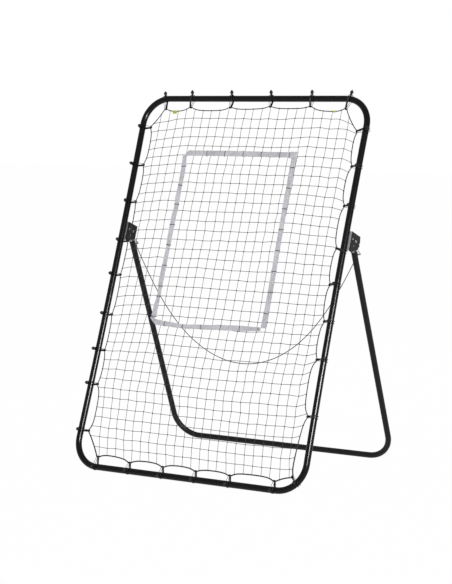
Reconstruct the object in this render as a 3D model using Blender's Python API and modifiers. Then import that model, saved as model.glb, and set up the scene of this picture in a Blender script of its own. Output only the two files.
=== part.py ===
"""Rebound net for ball practice: a leaning sectional tube frame, an elastic-hung net and a folding rear leg.

Units are metres, +Z is up, +Y is behind the net. The origin is on the floor, in the middle of the footprint.
Pieces of the frame are modelled across (x), behind (y) and up (z) the leaning plane, under one tilted empty.
Pieces of the leg are modelled the same way under an empty that lies on the hinge axis.
"""

import math

import bmesh
import bpy
from mathutils import Matrix, Vector

# Frame, measured between tube centres
FRAME_HALF_WIDTH = 0.595
FRAME_LENGTH = 1.7825
FRAME_CORNER = 0.125
FRAME_LEAN = math.radians(20.9)
SIDE_BOW = 0.009
FRAME_TUBE_R = 0.0143
FRAME_WALL = 0.0015
LOWER_JOINT = 0.594
UPPER_JOINT = 1.193

# Swaged tube joints and their snap buttons
SPIGOT_LENGTH = 0.055
SPIGOT_R = 0.0125
SHOULDER = 0.003
BUTTON_R = 0.004
BUTTON_INSET = 0.025
BUTTON_TOP = 0.0178
BUTTON_BASE = 0.0080
LEAF_THICKNESS = 0.0008
LEAF_HALF_WIDTH = 0.0035
LEAF_LENGTH = 0.026

# Rear leg
LEG_TUBE_R = 0.0135
LEG_WALL = 0.0012
LEG_HALF_WIDTH = 0.5896
LEG_CORNER = 0.120
LEG_JOINT = 0.620
LEG_SPIGOT_R = 0.0120
FOOTPRINT_DEPTH = 0.895

# Hinge bracket: a channel of bent sheet behind each side tube, in (behind, up the frame)
PIVOT_BEHIND = 0.0614
PIVOT_UP = 1.1374
SHEET = 0.0025
BRACKET_HALF_WIDTH = 0.0165
BRACKET_FRONT = 0.0147
BRACKET_TOP = 1.171
BRACKET_TOP_DEPTH = 0.101
BRACKET_BEND = 0.003
RIM_R = 0.046
RIM_SWEEP = (8.0, -46.6, 10)
FOLD_PATH_R = 0.0397
FOLD_PATH_SWEEP = (-46.6, -93.8, 9)
RIM_TAIL = -96.0
BRACKET_TOE = ((0.030, 1.0812), (0.020, 1.0835))
INNER_FLANGE_DEPTH = 0.094
NOTCH_ANGLES = (-0.5, -23.5, -46.64)
NOTCH_WIDTH = 0.0058
NOTCH_DEPTH = 0.006
ROUND_HOLES = ((0.0366, 1.1400, 0.0068), (0.0560, 1.1150, 0.0068))
PIVOT_HOLE_R = 0.0033

# Pivot bolt and nut
BOLT_R = 0.0030
HEX_R = 0.0058
HEX_HEIGHT = 0.0042
BOLT_TAIL = 0.0025

# Leg tongue, latch, pull ring and spring, in (behind, down the leg from the pivot)
TONGUE_HALF = 0.0025
TONGUE_R = 0.0100
TONGUE_END = 0.085
PLUG_R = 0.0120
PLUG_LENGTH = 0.014
LATCH_WIRE_R = 0.0025
LATCH_REST = 0.0428
LATCH_TRAVEL = 0.0065
LATCH_HALF_WIDTH = 0.020
LATCH_BEND = 0.005
LATCH_REAR = (0.0197, 0.0740)
TUBE_MOUTH = LATCH_REST + LATCH_TRAVEL + LATCH_WIRE_R + 0.0005
RING_CENTRE = (0.0237, 0.0755)
RING_R = 0.0085
RING_WIRE_R = 0.0012
SPRING_SIDE = 0.0082
SPRING_COIL_R = 0.0032
SPRING_WIRE_R = 0.0005
SPRING_TOP = 0.009
SPRING_BOTTOM = 0.034
SPRING_TURNS = 6
SPRING_STEPS = 6

# Elastic ties, each as (where it crosses its tube, its reach in to the border cord,
# how many degrees its knob turns from outwards to the front, how many degrees it slants along the tube)
TIE_WIDTH = 0.006
TIE_THICKNESS = 0.0024
TIE_GAP = 0.0007
SLANTED_TIE_GAP = 0.0020
TIE_HOOK_R = 0.0046
TOP_TIES = (
    (-0.494, 0.050, 4, 0),
    (-0.344, 0.042, 22, 0),
    (-0.127, 0.0415, 26, 0),
    (0.084, 0.037, 28, 0),
    (0.294, 0.036, 20, 0),
    (0.487, 0.047, 18, 6),
)
LEFT_TIES = (
    (1.638, 0.046, 88, 0),
    (1.450, 0.0445, 76, 0),
    (1.266, 0.041, 90, 0),
    (1.073, 0.041, 90, 0),
    (0.907, 0.037, 84, 0),
    (0.714, 0.0347, 84, 0),
    (0.543, 0.0357, 71, 0),
    (0.380, 0.037, 81, 0),
    (0.161, 0.0435, 90, 0),
)
RIGHT_TIES = (
    (0.332, 0.0325, 74, 0),
    (0.583, 0.035, 67, 0),
    (0.754, 0.031, 82, 0),
    (0.921, 0.035, 98, 0),
    (1.0755, 0.036, 78, 15),
    (1.280, 0.035, 92, 0),
    (1.463, 0.035, 85, 0),
    (1.636, 0.043, 59, -12),
)
BOTTOM_TIES = (
    (-0.473, 0.046, 86, 0),
    (-0.295, 0.037, 92, 0),
    (-0.117, 0.037, 78, 0),
    (0.055, 0.037, 82, 0),
    (0.230, 0.037, 82, 0),
    (0.453, 0.038, 78, 0),
)
CORNER_TIE = (math.radians(-41.0), 0.036, 85, 0)
KNOB_SIDES = 6
KNOB_PROFILE = ((0.0, 0.0245), (0.0080, 0.0120), (0.0036, -0.0012), (0.0, -0.0012))

# Net, border cord and target webbing
NET_LEFT = -0.526
NET_RIGHT = 0.524
NET_BOTTOM = 0.061
NET_TOP = 1.713
NET_COLUMNS = 12
NET_ROWS = 18
STRAND = 0.0025
BORDER_R = 0.0022
BORDER_STRAIGHT = 0.007
# How far the border cord is drawn in after each tie, round from the first bottom tie to the right
BOTTOM_SAGS = (0.0155, 0.0150, 0.0140, 0.0117, 0.0158, 0.0040)
CORNER_SAG = 0.0142
RIGHT_SAGS = (0.0233, 0.0134, 0.0121, 0.0115, 0.0153, 0.0166, 0.0116, 0.0060)
TOP_SAGS = (0.0190, 0.0113, 0.0120, 0.0175, 0.0160, 0.0040)
LEFT_SAGS = (0.0139, 0.0104, 0.0055, 0.0035, 0.0075, 0.0057, 0.0095, 0.0193, 0.0040)
BORDER_SAGS = BOTTOM_SAGS + (CORNER_SAG,) + RIGHT_SAGS + TOP_SAGS + LEFT_SAGS
NET_CORNERS = {
    (0, NET_ROWS): (-0.499, 1.678),
    (NET_COLUMNS, NET_ROWS): (0.503, 1.676),
    (0, 0): (-0.498, 0.106),
    (NET_COLUMNS, 0): (0.507, 0.080),
}
TAPE_OUTER = (-0.328, 0.2745, 0.6775, 1.5245)
TAPE_WIDTH = 0.025
TAPE_THICKNESS = 0.001
TAPE_FRONT = 0.0026
TAPE_FOLD = 0.030

# Pull cord: half of its hanging curve from the middle outwards, as (across, height)
CORD_R = 0.00125
CORD_HALF_ROUTE = (
    (0.000, 0.462),
    (0.075, 0.469),
    (0.150, 0.491),
    (0.220, 0.525),
    (0.290, 0.573),
    (0.355, 0.633),
    (0.415, 0.703),
    (0.468, 0.778),
    (0.515, 0.855),
    (0.555, 0.926),
    (0.580, 0.974),
    (0.5868, 0.9870),
)
CORD_SAMPLES = 64

GAP = 0.0003
BAND_UNDER_BAR = TIE_GAP + TIE_THICKNESS
FRONT_BAR_Z = FRAME_TUBE_R + BAND_UNDER_BAR
TUBE_SIDES = 12

LEAN_SIN = math.sin(FRAME_LEAN)
LEAN_COS = math.cos(FRAME_LEAN)
PIVOT_FROM_BAR_Y = PIVOT_UP * LEAN_SIN + PIVOT_BEHIND * LEAN_COS
PIVOT_Z = FRONT_BAR_Z + PIVOT_UP * LEAN_COS - PIVOT_BEHIND * LEAN_SIN
LEG_LENGTH = math.hypot(FOOTPRINT_DEPTH - PIVOT_FROM_BAR_Y, PIVOT_Z - LEG_TUBE_R)
LEG_SLOPE = math.atan2(FOOTPRINT_DEPTH - PIVOT_FROM_BAR_Y, PIVOT_Z - LEG_TUBE_R)
FRONT_REACH = 0.0389
FRONT_BAR_Y = -(FOOTPRINT_DEPTH + LEG_TUBE_R - FRONT_REACH) / 2
PIVOT_Y = FRONT_BAR_Y + PIVOT_FROM_BAR_Y


def clear_scene():
    for obj in list(bpy.data.objects):
        bpy.data.objects.remove(obj)


def new_collection(name):
    collection = bpy.data.collections.new(name)
    bpy.context.scene.collection.children.link(collection)
    return collection


def new_material(name, colour, roughness, metallic=0.0):
    material = bpy.data.materials.new(name)
    material.use_nodes = True
    shader = material.node_tree.nodes["Principled BSDF"]
    shader.inputs["Base Color"].default_value = (*colour, 1.0)
    shader.inputs["Roughness"].default_value = roughness
    shader.inputs["Metallic"].default_value = metallic
    return material


clear_scene()
parts = new_collection("soccer_rebound_net")
cutters = new_collection("cutters")
cutters.hide_render = True

POWDER_COAT = new_material("powder_coat_black", (0.012, 0.012, 0.014), 0.28)
ZINC = new_material("zinc_plate", (0.62, 0.62, 0.64), 0.32, 1.0)
RUBBER = new_material("black_rubber", (0.014, 0.014, 0.014), 0.55)
NET_TWINE = new_material("net_twine", (0.10, 0.10, 0.11), 0.85)
BORDER_TWINE = new_material("border_cord_black", (0.03, 0.03, 0.032), 0.80)
WEBBING = new_material("target_webbing_grey", (0.52, 0.51, 0.54), 0.85)
CORD = new_material("pull_cord_grey", (0.09, 0.09, 0.10), 0.80)


def new_empty(name, location, x_rotation):
    empty = bpy.data.objects.new(name, None)
    empty.location = location
    empty.rotation_euler = (x_rotation, 0.0, 0.0)
    parts.objects.link(empty)
    return empty


frame_plane = new_empty("frame_plane", (0.0, FRONT_BAR_Y, FRONT_BAR_Z), -FRAME_LEAN)
leg_hinge = new_empty("leg_hinge", (0.0, PIVOT_Y, PIVOT_Z), LEG_SLOPE)


def add_part(name, data, material, parent=None, matrix=None):
    """Link a new object to the parts, give it its material and place it under its parent."""
    obj = bpy.data.objects.new(name, data)
    parts.objects.link(obj)
    if not data.materials:
        data.materials.append(material)
    if parent:
        obj.parent = parent
    if matrix:
        obj.matrix_local = matrix
    return obj


def add_cutter(name, data, parent=None, matrix=None):
    obj = bpy.data.objects.new(name, data)
    cutters.objects.link(obj)
    obj.hide_render = True
    obj.display_type = "WIRE"
    if parent:
        obj.parent = parent
    if matrix:
        obj.matrix_local = matrix
    return obj


def cut(obj, cutter, operation="DIFFERENCE"):
    modifier = obj.modifiers.new(cutter.name, "BOOLEAN")
    modifier.operation = operation
    modifier.object = cutter


def evaluated_mesh(obj, merge=1e-6):
    """The object's mesh with its modifiers applied and its loose caps welded."""
    bpy.context.view_layer.update()
    graph = bpy.context.evaluated_depsgraph_get()
    mesh = bpy.data.meshes.new_from_object(obj.evaluated_get(graph))
    bm = bmesh.new()
    bm.from_mesh(mesh)
    bmesh.ops.remove_doubles(bm, verts=bm.verts, dist=merge)
    bm.to_mesh(mesh)
    bm.free()
    return mesh


def smooth(mesh, degrees=40.0):
    mesh.shade_smooth()
    mesh.set_sharp_from_angle(angle=math.radians(degrees))
    return mesh


def curve_data(name, points, radius, resolution=2, cyclic=False, caps=True, radii=None):
    """A round wire or tube along straight spans between the points."""
    curve = bpy.data.curves.new(name, "CURVE")
    curve.dimensions = "3D"
    curve.bevel_depth = radius
    curve.bevel_resolution = resolution
    curve.use_fill_caps = caps and not cyclic
    spline = curve.splines.new("POLY")
    spline.points.add(len(points) - 1)
    for index, point in enumerate(points):
        spline.points[index].co = (*point, 1.0)
        if radii:
            spline.points[index].radius = radii[index]
    spline.use_cyclic_u = cyclic
    return curve


def mesh_of_curve(curve, merge=1e-6):
    holder = bpy.data.objects.new(curve.name, curve)
    bpy.context.scene.collection.objects.link(holder)
    mesh = evaluated_mesh(holder, merge)
    mesh.name = curve.name
    bpy.data.objects.remove(holder)
    return mesh


def wire_mesh(name, points, radius, resolution=2, cyclic=False):
    return smooth(mesh_of_curve(curve_data(name, points, radius, resolution, cyclic)), 60.0)


def flat_outline(name, outlines, half_thickness):
    """A sheet in the local XY plane, bounded by the first outline and pierced by the others."""
    curve = bpy.data.curves.new(name, "CURVE")
    curve.dimensions = "2D"
    curve.fill_mode = "BOTH"
    curve.extrude = half_thickness
    for outline in outlines:
        spline = curve.splines.new("POLY")
        spline.points.add(len(outline) - 1)
        for index, (x, y) in enumerate(outline):
            spline.points[index].co = (x, y, 0.0, 1.0)
        spline.use_cyclic_u = True
    return mesh_of_curve(curve)


def circle_points(centre, radius, steps, start=0.0, sweep=math.tau):
    closed = abs(sweep) >= math.tau
    count = steps if closed else steps + 1
    return [
        (centre[0] + radius * math.cos(start + sweep * i / steps), centre[1] + radius * math.sin(start + sweep * i / steps))
        for i in range(count)
    ]


def prism(name, radius, length, sides, matrix=None):
    """A capped round or hexagonal bar centred on its axis, the local Z axis unless a matrix turns it."""
    bm = bmesh.new()
    bmesh.ops.create_cone(bm, cap_ends=True, segments=sides, radius1=radius, radius2=radius, depth=length)
    if matrix:
        bmesh.ops.transform(bm, matrix=matrix, verts=bm.verts)
    mesh = bpy.data.meshes.new(name)
    bm.to_mesh(mesh)
    bm.free()
    return mesh


def box(name, low, high):
    bm = bmesh.new()
    bmesh.ops.create_cube(bm, size=1.0)
    size = Vector(high) - Vector(low)
    middle = (Vector(high) + Vector(low)) / 2
    bmesh.ops.transform(bm, matrix=Matrix.Translation(middle) @ Matrix.Diagonal((*size, 1.0)), verts=bm.verts)
    mesh = bpy.data.meshes.new(name)
    bm.to_mesh(mesh)
    bm.free()
    return mesh


def joined(name, meshes):
    bm = bmesh.new()
    for mesh in meshes:
        bm.from_mesh(mesh)
    result = bpy.data.meshes.new(name)
    bm.to_mesh(result)
    bm.free()
    return result


ALONG_X = Matrix.Rotation(math.radians(90.0), 4, "Y")
SIDE_PLANE = Matrix(((0, 0, 1, 0), (1, 0, 0, 0), (0, 1, 0, 0), (0, 0, 0, 1)))


# Tubes


def side_x(up):
    """Half width of the frame at a height up its plane: the net's pull bows the side tubes inwards."""
    place = 2 * up / FRAME_LENGTH - 1
    return FRAME_HALF_WIDTH - SIDE_BOW * (1 - place * place)


def hollow_tube(name, points, radii, radius, wall, parent, material=POWDER_COAT):
    """A tube open at both ends: the swept outer skin, thickened inwards."""
    curve = curve_data(name, points, radius, (TUBE_SIDES - 4) // 2, caps=False, radii=radii)
    obj = add_part(name, smooth(mesh_of_curve(curve)), material, parent)
    wall_modifier = obj.modifiers.new("wall", "SOLIDIFY")
    wall_modifier.thickness = wall
    wall_modifier.offset = -1.0
    return obj


def spaced(first, last, spans):
    return [first + (last - first) * i / spans for i in range(spans + 1)]


def frame_u(name, joint, bar_up):
    """The top or the bottom U of the frame, from its open end on the right to the one on the left."""
    inwards = 1 if bar_up == 0.0 else -1
    bend_up = bar_up + inwards * FRAME_CORNER
    side = [(side_x(up), 0.0, up) for up in spaced(joint, bend_up, 4)]
    centre_x = side_x(bend_up) - FRAME_CORNER
    bend = circle_points((centre_x, bend_up), FRAME_CORNER, 6, 0.0, -inwards * math.pi / 2)[1:]
    right = side + [(x, 0.0, up) for x, up in bend]
    left = [(-x, y, z) for x, y, z in reversed(right)]
    return hollow_tube(name, right + left, None, FRAME_TUBE_R, FRAME_WALL, frame_plane)


def frame_middle(name, sign):
    """A straight length between the two Us, swaged at both ends."""
    narrow = SPIGOT_R / FRAME_TUBE_R
    lower, upper = LOWER_JOINT, UPPER_JOINT
    stations = [(lower - SPIGOT_LENGTH, narrow), (lower + GAP, narrow), (lower + SHOULDER, 1.0)]
    stations += [(up, 1.0) for up in spaced(lower + SHOULDER, upper - SHOULDER, 3)[1:-1]]
    stations += [(upper - SHOULDER, 1.0), (upper - GAP, narrow), (upper + SPIGOT_LENGTH, narrow)]
    points = [(sign * side_x(up), 0.0, up) for up, _ in stations]
    return hollow_tube(name, points, [r for _, r in stations], FRAME_TUBE_R, FRAME_WALL, frame_plane)


def add_snap_button(name, sign, up, tubes):
    """A sprung button behind the tube: its head fills a hole through the socket and the spigot."""
    at = Vector((sign * side_x(up), 0.0, up))
    turn = Matrix.Translation(at) @ Matrix.Rotation(math.radians(-90.0), 4, "X")
    hole = add_cutter(name + "_hole", prism(name + "_hole", BUTTON_R + GAP, 0.02, 12), frame_plane,
                      turn @ Matrix.Translation((0.0, 0.0, FRAME_TUBE_R)))
    for tube in tubes:
        cut(tube, hole)
    head = prism(name, BUTTON_R, BUTTON_TOP - BUTTON_BASE, 12)
    head.transform(Matrix.Translation((0.0, 0.0, (BUTTON_TOP + BUTTON_BASE) / 2)))
    obj = add_part(name, head, ZINC, frame_plane, turn)
    crown = obj.modifiers.new("crown", "BEVEL")
    crown.width = 0.0012
    crown.segments = 1
    crown.angle_limit = math.radians(60.0)
    leaf = [(-0.005, BUTTON_BASE + 0.0004), (0.005, BUTTON_BASE + 0.0004), (LEAF_LENGTH, 0.0), (0.005, -0.0092),
            (0.005, -0.0092 + LEAF_THICKNESS), (LEAF_LENGTH - 0.003, 0.0), (0.005, BUTTON_BASE - LEAF_THICKNESS),
            (-0.005, BUTTON_BASE - LEAF_THICKNESS)]
    strip = flat_outline(name + "_leaf", [leaf], LEAF_HALF_WIDTH)
    lay_along_tube = Matrix(((0, 0, 1, 0), (1, 0, 0, 0), (0, 1, 0, 0), (0, 0, 0, 1)))
    strip.transform(lay_along_tube)
    cut(obj, add_cutter(name + "_leaf", strip, frame_plane, turn), "UNION")
    return obj


def build_frame():
    bottom = frame_u("frame_bottom_tube", LOWER_JOINT, 0.0)
    top = frame_u("frame_top_tube", UPPER_JOINT, FRAME_LENGTH)
    for side, sign in (("left", -1), ("right", 1)):
        middle = frame_middle(f"frame_{side}_tube", sign)
        add_snap_button(f"snap_button_lower_{side}", sign, LOWER_JOINT - BUTTON_INSET, (bottom, middle))
        add_snap_button(f"snap_button_upper_{side}", sign, UPPER_JOINT + BUTTON_INSET, (top, middle))


# Hinge brackets, bolts and nuts


def rim_point(degrees, radius):
    """A point at that angle and distance from the hinge axis, as (behind, up the frame)."""
    angle = math.radians(degrees)
    return PIVOT_BEHIND + radius * math.cos(angle), PIVOT_UP + radius * math.sin(angle)


def bracket_block(name):
    """The channel's outer block: its rear rim steps in along the way that the latch takes as the leg folds."""
    outline = [(BRACKET_FRONT, BRACKET_TOP), (BRACKET_TOP_DEPTH, BRACKET_TOP)]
    for radius, (first, last, steps) in ((RIM_R, RIM_SWEEP), (FOLD_PATH_R, FOLD_PATH_SWEEP)):
        outline += [rim_point(degrees, radius) for degrees in spaced(first, last, steps)]
    outline += [rim_point(FOLD_PATH_SWEEP[1], RIM_R), rim_point(RIM_TAIL, RIM_R)]
    outline += list(BRACKET_TOE) + [(BRACKET_FRONT, BRACKET_TOE[-1][1])]
    mesh = flat_outline(name, [outline], BRACKET_HALF_WIDTH)
    mesh.transform(SIDE_PLANE)
    bm = bmesh.new()
    bm.from_mesh(mesh)
    front = [e for e in bm.edges if all(v.co.y < BRACKET_FRONT + GAP for v in e.verts) and abs(e.verts[0].co.x - e.verts[1].co.x) < GAP]
    bmesh.ops.bevel(bm, geom=front, offset=BRACKET_BEND, segments=3, profile=0.5, affect="EDGES", material=-1)
    bmesh.ops.recalc_face_normals(bm, faces=bm.faces)
    bm.to_mesh(mesh)
    bm.free()
    return smooth(mesh)


def bracket_holes(name, sign):
    """Through holes, rim notches and the trim of the flange that faces the middle of the frame."""
    pieces = []
    width = 3 * BRACKET_HALF_WIDTH
    for behind, up, radius in ROUND_HOLES + ((PIVOT_BEHIND, PIVOT_UP, PIVOT_HOLE_R),):
        pieces.append(prism(name, radius, width, 16, Matrix.Translation((0.0, behind, up)) @ ALONG_X))
    for degrees in NOTCH_ANGLES:
        behind, up = rim_point(degrees, RIM_R)
        slot = box(name, (-width / 2, -NOTCH_DEPTH, -NOTCH_WIDTH / 2), (width / 2, NOTCH_DEPTH, NOTCH_WIDTH / 2))
        slot.transform(Matrix.Translation((0.0, behind, up)) @ Matrix.Rotation(math.radians(degrees), 4, "X"))
        pieces.append(slot)
    return joined(name, pieces)


def build_bracket(side, sign):
    name = f"hinge_bracket_{side}"
    place = Matrix.Translation((sign * LEG_HALF_WIDTH, 0.0, 0.0))
    obj = add_part(name, bracket_block(name), POWDER_COAT, frame_plane, place)
    inside = BRACKET_HALF_WIDTH - SHEET
    hollow = box(name + "_hollow", (-inside, BRACKET_FRONT + SHEET, 0.9), (inside, 0.2, 1.4))
    cut(obj, add_cutter(name + "_hollow", hollow, frame_plane, place))
    cut(obj, add_cutter(name + "_holes", bracket_holes(name + "_holes", sign), frame_plane, place))
    inner = sorted((-sign * (inside - GAP), -sign * 2 * BRACKET_HALF_WIDTH))
    trim = box(name + "_trim", (inner[0], INNER_FLANGE_DEPTH, 0.9), (inner[1], 0.2, 1.4))
    cut(obj, add_cutter(name + "_trim", trim, frame_plane, place))
    return obj


def build_pivot(side, sign):
    """The hinge bolt through both flanges and the leg's tongue, and its nut towards the middle."""
    outer = BRACKET_HALF_WIDTH + GAP
    tip = outer + HEX_HEIGHT + BOLT_TAIL
    place = Matrix.Translation((sign * LEG_HALF_WIDTH, 0.0, 0.0))
    shank = prism("shank", BOLT_R, outer + HEX_HEIGHT / 2 + tip, 12)
    shank.transform(Matrix.Translation((sign * (outer + HEX_HEIGHT / 2 - tip) / 2, 0.0, 0.0)) @ ALONG_X)
    head = prism("head", HEX_R, HEX_HEIGHT, 6)
    head.transform(Matrix.Translation((sign * (outer + HEX_HEIGHT / 2), 0.0, 0.0)) @ ALONG_X)
    name = f"pivot_bolt_{side}"
    bolt = add_part(name, shank, ZINC, leg_hinge, place)
    cut(bolt, add_cutter(name + "_head", head, leg_hinge, place), "UNION")
    nut_place = Matrix.Translation((-sign * (outer + HEX_HEIGHT / 2), 0.0, 0.0)) @ ALONG_X
    nut_mesh = flat_outline(f"pivot_nut_{side}", [circle_points((0, 0), HEX_R, 6), circle_points((0, 0), BOLT_R + GAP, 12)],
                            HEX_HEIGHT / 2)
    nut_mesh.transform(nut_place)
    add_part(f"pivot_nut_{side}", nut_mesh, ZINC, leg_hinge, place)


# Rear leg


def build_leg_tubes():
    narrow = LEG_SPIGOT_R / LEG_TUBE_R
    bend_down = -LEG_LENGTH + LEG_CORNER
    side = [(LEG_HALF_WIDTH, 0.0, down) for down in spaced(-LEG_JOINT, bend_down, 2)]
    bend = circle_points((LEG_HALF_WIDTH - LEG_CORNER, bend_down), LEG_CORNER, 6, 0.0, -math.pi / 2)[1:]
    right = side + [(x, 0.0, down) for x, down in bend]
    left = [(-x, y, z) for x, y, z in reversed(right)]
    hollow_tube("leg_rear_tube", right + left, None, LEG_TUBE_R, LEG_WALL, leg_hinge)
    for side_name, sign in (("left", -1), ("right", 1)):
        stations = [(-TUBE_MOUTH, 1.0), (-LEG_JOINT + SHOULDER, 1.0), (-LEG_JOINT + GAP, narrow),
                    (-LEG_JOINT - SPIGOT_LENGTH, narrow)]
        points = [(sign * LEG_HALF_WIDTH, 0.0, down) for down, _ in stations]
        hollow_tube(f"leg_{side_name}_tube", points, [r for _, r in stations], LEG_TUBE_R, LEG_WALL, leg_hinge)


def build_tongue(side, sign):
    """The flat tongue on top of each leg tube, with its round plug, its pivot hole and its latch slot."""
    name = f"leg_tongue_{side}"
    place = Matrix.Translation((sign * LEG_HALF_WIDTH, 0.0, 0.0))
    outline = circle_points((0.0, 0.0), TONGUE_R, 8, 0.0, math.pi)
    outline += [(-TONGUE_R, -TONGUE_END), (TONGUE_R, -TONGUE_END)]
    slot_r = LATCH_WIRE_R + GAP
    slot = circle_points((0.0, -LATCH_REST), slot_r, 6, 0.0, math.pi)
    slot += circle_points((0.0, -LATCH_REST - LATCH_TRAVEL), slot_r, 6, math.pi, math.pi)
    mesh = flat_outline(name, [outline, circle_points((0.0, 0.0), BOLT_R + GAP, 12), slot], TONGUE_HALF)
    mesh.transform(SIDE_PLANE)
    obj = add_part(name, mesh, POWDER_COAT, leg_hinge, place)
    plug = prism(name + "_plug", PLUG_R, PLUG_LENGTH, 12)
    plug.transform(Matrix.Translation((0.0, 0.0, -TUBE_MOUTH - GAP - PLUG_LENGTH / 2)))
    cut(obj, add_cutter(name + "_plug", plug, leg_hinge, place), "UNION")


def latch_loop():
    """The bent wire loop of the latch about its own bar: bar, two arms and the rear bridge."""
    rear = Vector((0.0, LATCH_REAR[0], -(LATCH_REAR[1] - LATCH_REST)))
    reach = rear.length
    along = rear.normalized()
    flat = []
    corners = ((1, 0, 0.0), (1, 1, 90.0), (-1, 1, 180.0), (-1, 0, 270.0))
    for across, far, start in corners:
        centre = (across * (LATCH_HALF_WIDTH - LATCH_BEND), LATCH_BEND if not far else reach - LATCH_BEND)
        flat += circle_points(centre, LATCH_BEND, 3, math.radians(start - 90.0), math.pi / 2)
    return [Vector((u, 0.0, 0.0)) + along * v for u, v in flat]


def build_latch(side, sign):
    place = Matrix.Translation((sign * LEG_HALF_WIDTH, 0.0, -LATCH_REST))
    add_part(f"latch_{side}", wire_mesh(f"latch_{side}", latch_loop(), LATCH_WIRE_R, 2, True), ZINC, leg_hinge, place)
    centre = (sign * LEG_HALF_WIDTH, RING_CENTRE[0], -RING_CENTRE[1])
    ring = circle_points((0.0, 0.0), RING_R, 16)
    ring_mesh = wire_mesh(f"pull_ring_{side}", [(0.0, y, z) for y, z in ring], RING_WIRE_R, 1, True)
    add_part(f"pull_ring_{side}", ring_mesh, ZINC, leg_hinge, Matrix.Translation(centre))


def spring_route():
    """Hook round the bolt, close coil down the leg, hook round the latch bar."""
    bolt_hook = BOLT_R + GAP + SPRING_WIRE_R
    bar_hook = LATCH_WIRE_R + GAP + SPRING_WIRE_R
    route = [(0.0, y, z) for y, z in circle_points((0.0, 0.0), bolt_hook, 7, math.radians(-50.0), math.radians(280.0))]
    steps = int(SPRING_STEPS * (SPRING_TURNS + 0.5))
    for i in range(steps + 1):
        turn = -math.pi / 2 + math.tau * (SPRING_TURNS + 0.5) * i / steps
        down = -SPRING_TOP - (SPRING_BOTTOM - SPRING_TOP) * i / steps
        route.append((SPRING_COIL_R * math.cos(turn), SPRING_COIL_R * math.sin(turn), down))
    hook = circle_points((0.0, -LATCH_REST), bar_hook, 7, math.radians(50.0), math.radians(-280.0))
    return route + [(0.0, y, z) for y, z in hook]


def build_spring(side, sign):
    place = Matrix.Translation((sign * (LEG_HALF_WIDTH - SPRING_SIDE), 0.0, 0.0))
    mesh = wire_mesh(f"latch_spring_{side}", spring_route(), SPRING_WIRE_R, 0)
    add_part(f"latch_spring_{side}", mesh, ZINC, leg_hinge, place)


# Elastic ties and the border cord


def crossing(kind, value):
    """Where a tie crosses its tube, as (across, up) and its outward angle in the frame's plane."""
    corner_x = side_x(FRAME_CORNER) - FRAME_CORNER
    if kind == "corner":
        point = (corner_x + FRAME_CORNER * math.cos(value), FRAME_CORNER + FRAME_CORNER * math.sin(value))
        return point, value
    if kind in ("left", "right"):
        sign = 1 if kind == "right" else -1
        return (sign * side_x(value), value), 0.0 if kind == "right" else math.pi
    upward = 1 if kind == "top" else -1
    bar = FRAME_LENGTH if kind == "top" else 0.0
    over = max(0.0, abs(value) - corner_x)
    turn = math.asin(over / FRAME_CORNER)
    up = bar - upward * FRAME_CORNER * (1 - math.cos(turn))
    angle = upward * (math.pi / 2 - math.copysign(turn, value))
    return (value, up), angle


def tie_list():
    """Every tie round the net from the bottom left to the right, as (node name, place, reach, knob turn, gap)."""
    rows = [("bottom", i, tie) for i, tie in enumerate(BOTTOM_TIES, 1)] + [("corner", 0, CORNER_TIE)]
    rows += [("right", i, tie) for i, tie in enumerate(RIGHT_TIES, 1)]
    rows += [("top", i, tie) for i, tie in reversed(list(enumerate(TOP_TIES, 1)))]
    rows += [("left", i, tie) for i, tie in enumerate(LEFT_TIES, 1)]
    ties = []
    for kind, number, (value, reach, knob_turn, slant) in rows:
        (across, up), angle = crossing(kind, value)
        out = Vector((math.cos(angle), 0.0, math.sin(angle)))
        behind = Vector((0.0, 1.0, 0.0))
        place = Matrix((out, behind, out.cross(behind))).transposed().to_4x4()
        place.translation = (across, 0.0, up)
        place = place @ Matrix.Rotation(math.radians(slant), 4, "Y")
        name = f"tie_{kind}_{number}" if number else f"tie_{kind}"
        ties.append((name, place, reach, knob_turn, SLANTED_TIE_GAP if slant else TIE_GAP))
    return ties


def belt_outline(reach, gap, grow):
    """A belt round the tube at the origin and round the border cord, that far inwards along -X."""
    big = FRAME_TUBE_R + gap + grow
    small = TIE_HOOK_R + grow
    lean = math.acos((big - small) / reach)
    outer = circle_points((0.0, 0.0), big, 8, -math.pi + lean, 2 * (math.pi - lean))
    hook = circle_points((-reach, 0.0), small, 3, math.pi - lean, 2 * lean)
    return outer + hook


def tie_mesh(name, reach, knob_turn, gap):
    """A moulded rubber band with a pointed knob, about the tube it holds."""
    outlines = [belt_outline(reach, gap, TIE_THICKNESS), belt_outline(reach, gap, 0.0)]
    belt = flat_outline(name, outlines, TIE_WIDTH / 2)
    profile = bpy.data.meshes.new("tie_knob")
    points = [(radius, 0.0, height) for radius, height in KNOB_PROFILE]
    profile.from_pydata(points, [(i, i + 1) for i in range(len(points) - 1)], [])
    knob = add_cutter("tie_knob", profile)
    screw = knob.modifiers.new("turn", "SCREW")
    screw.steps = KNOB_SIDES
    screw.render_steps = KNOB_SIDES
    screw.use_merge_vertices = True
    screw.merge_threshold = 1e-5
    turn = Matrix.Rotation(math.radians(-knob_turn), 4, "Z") @ Matrix.Rotation(math.radians(90.0), 4, "Y")
    knob.matrix_world = turn @ Matrix.Translation((0.0, 0.0, FRAME_TUBE_R + gap + TIE_THICKNESS))
    body = add_cutter("tie_body", belt)
    cut(body, knob, "UNION")
    mesh = evaluated_mesh(body)
    mesh.name = name
    bpy.data.objects.remove(body)
    bpy.data.objects.remove(knob)
    return smooth(mesh, 50.0)


def build_ties():
    for name, place, reach, knob_turn, gap in tie_list():
        add_part(name, tie_mesh(name, reach, knob_turn, gap), RUBBER, frame_plane, place)


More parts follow.
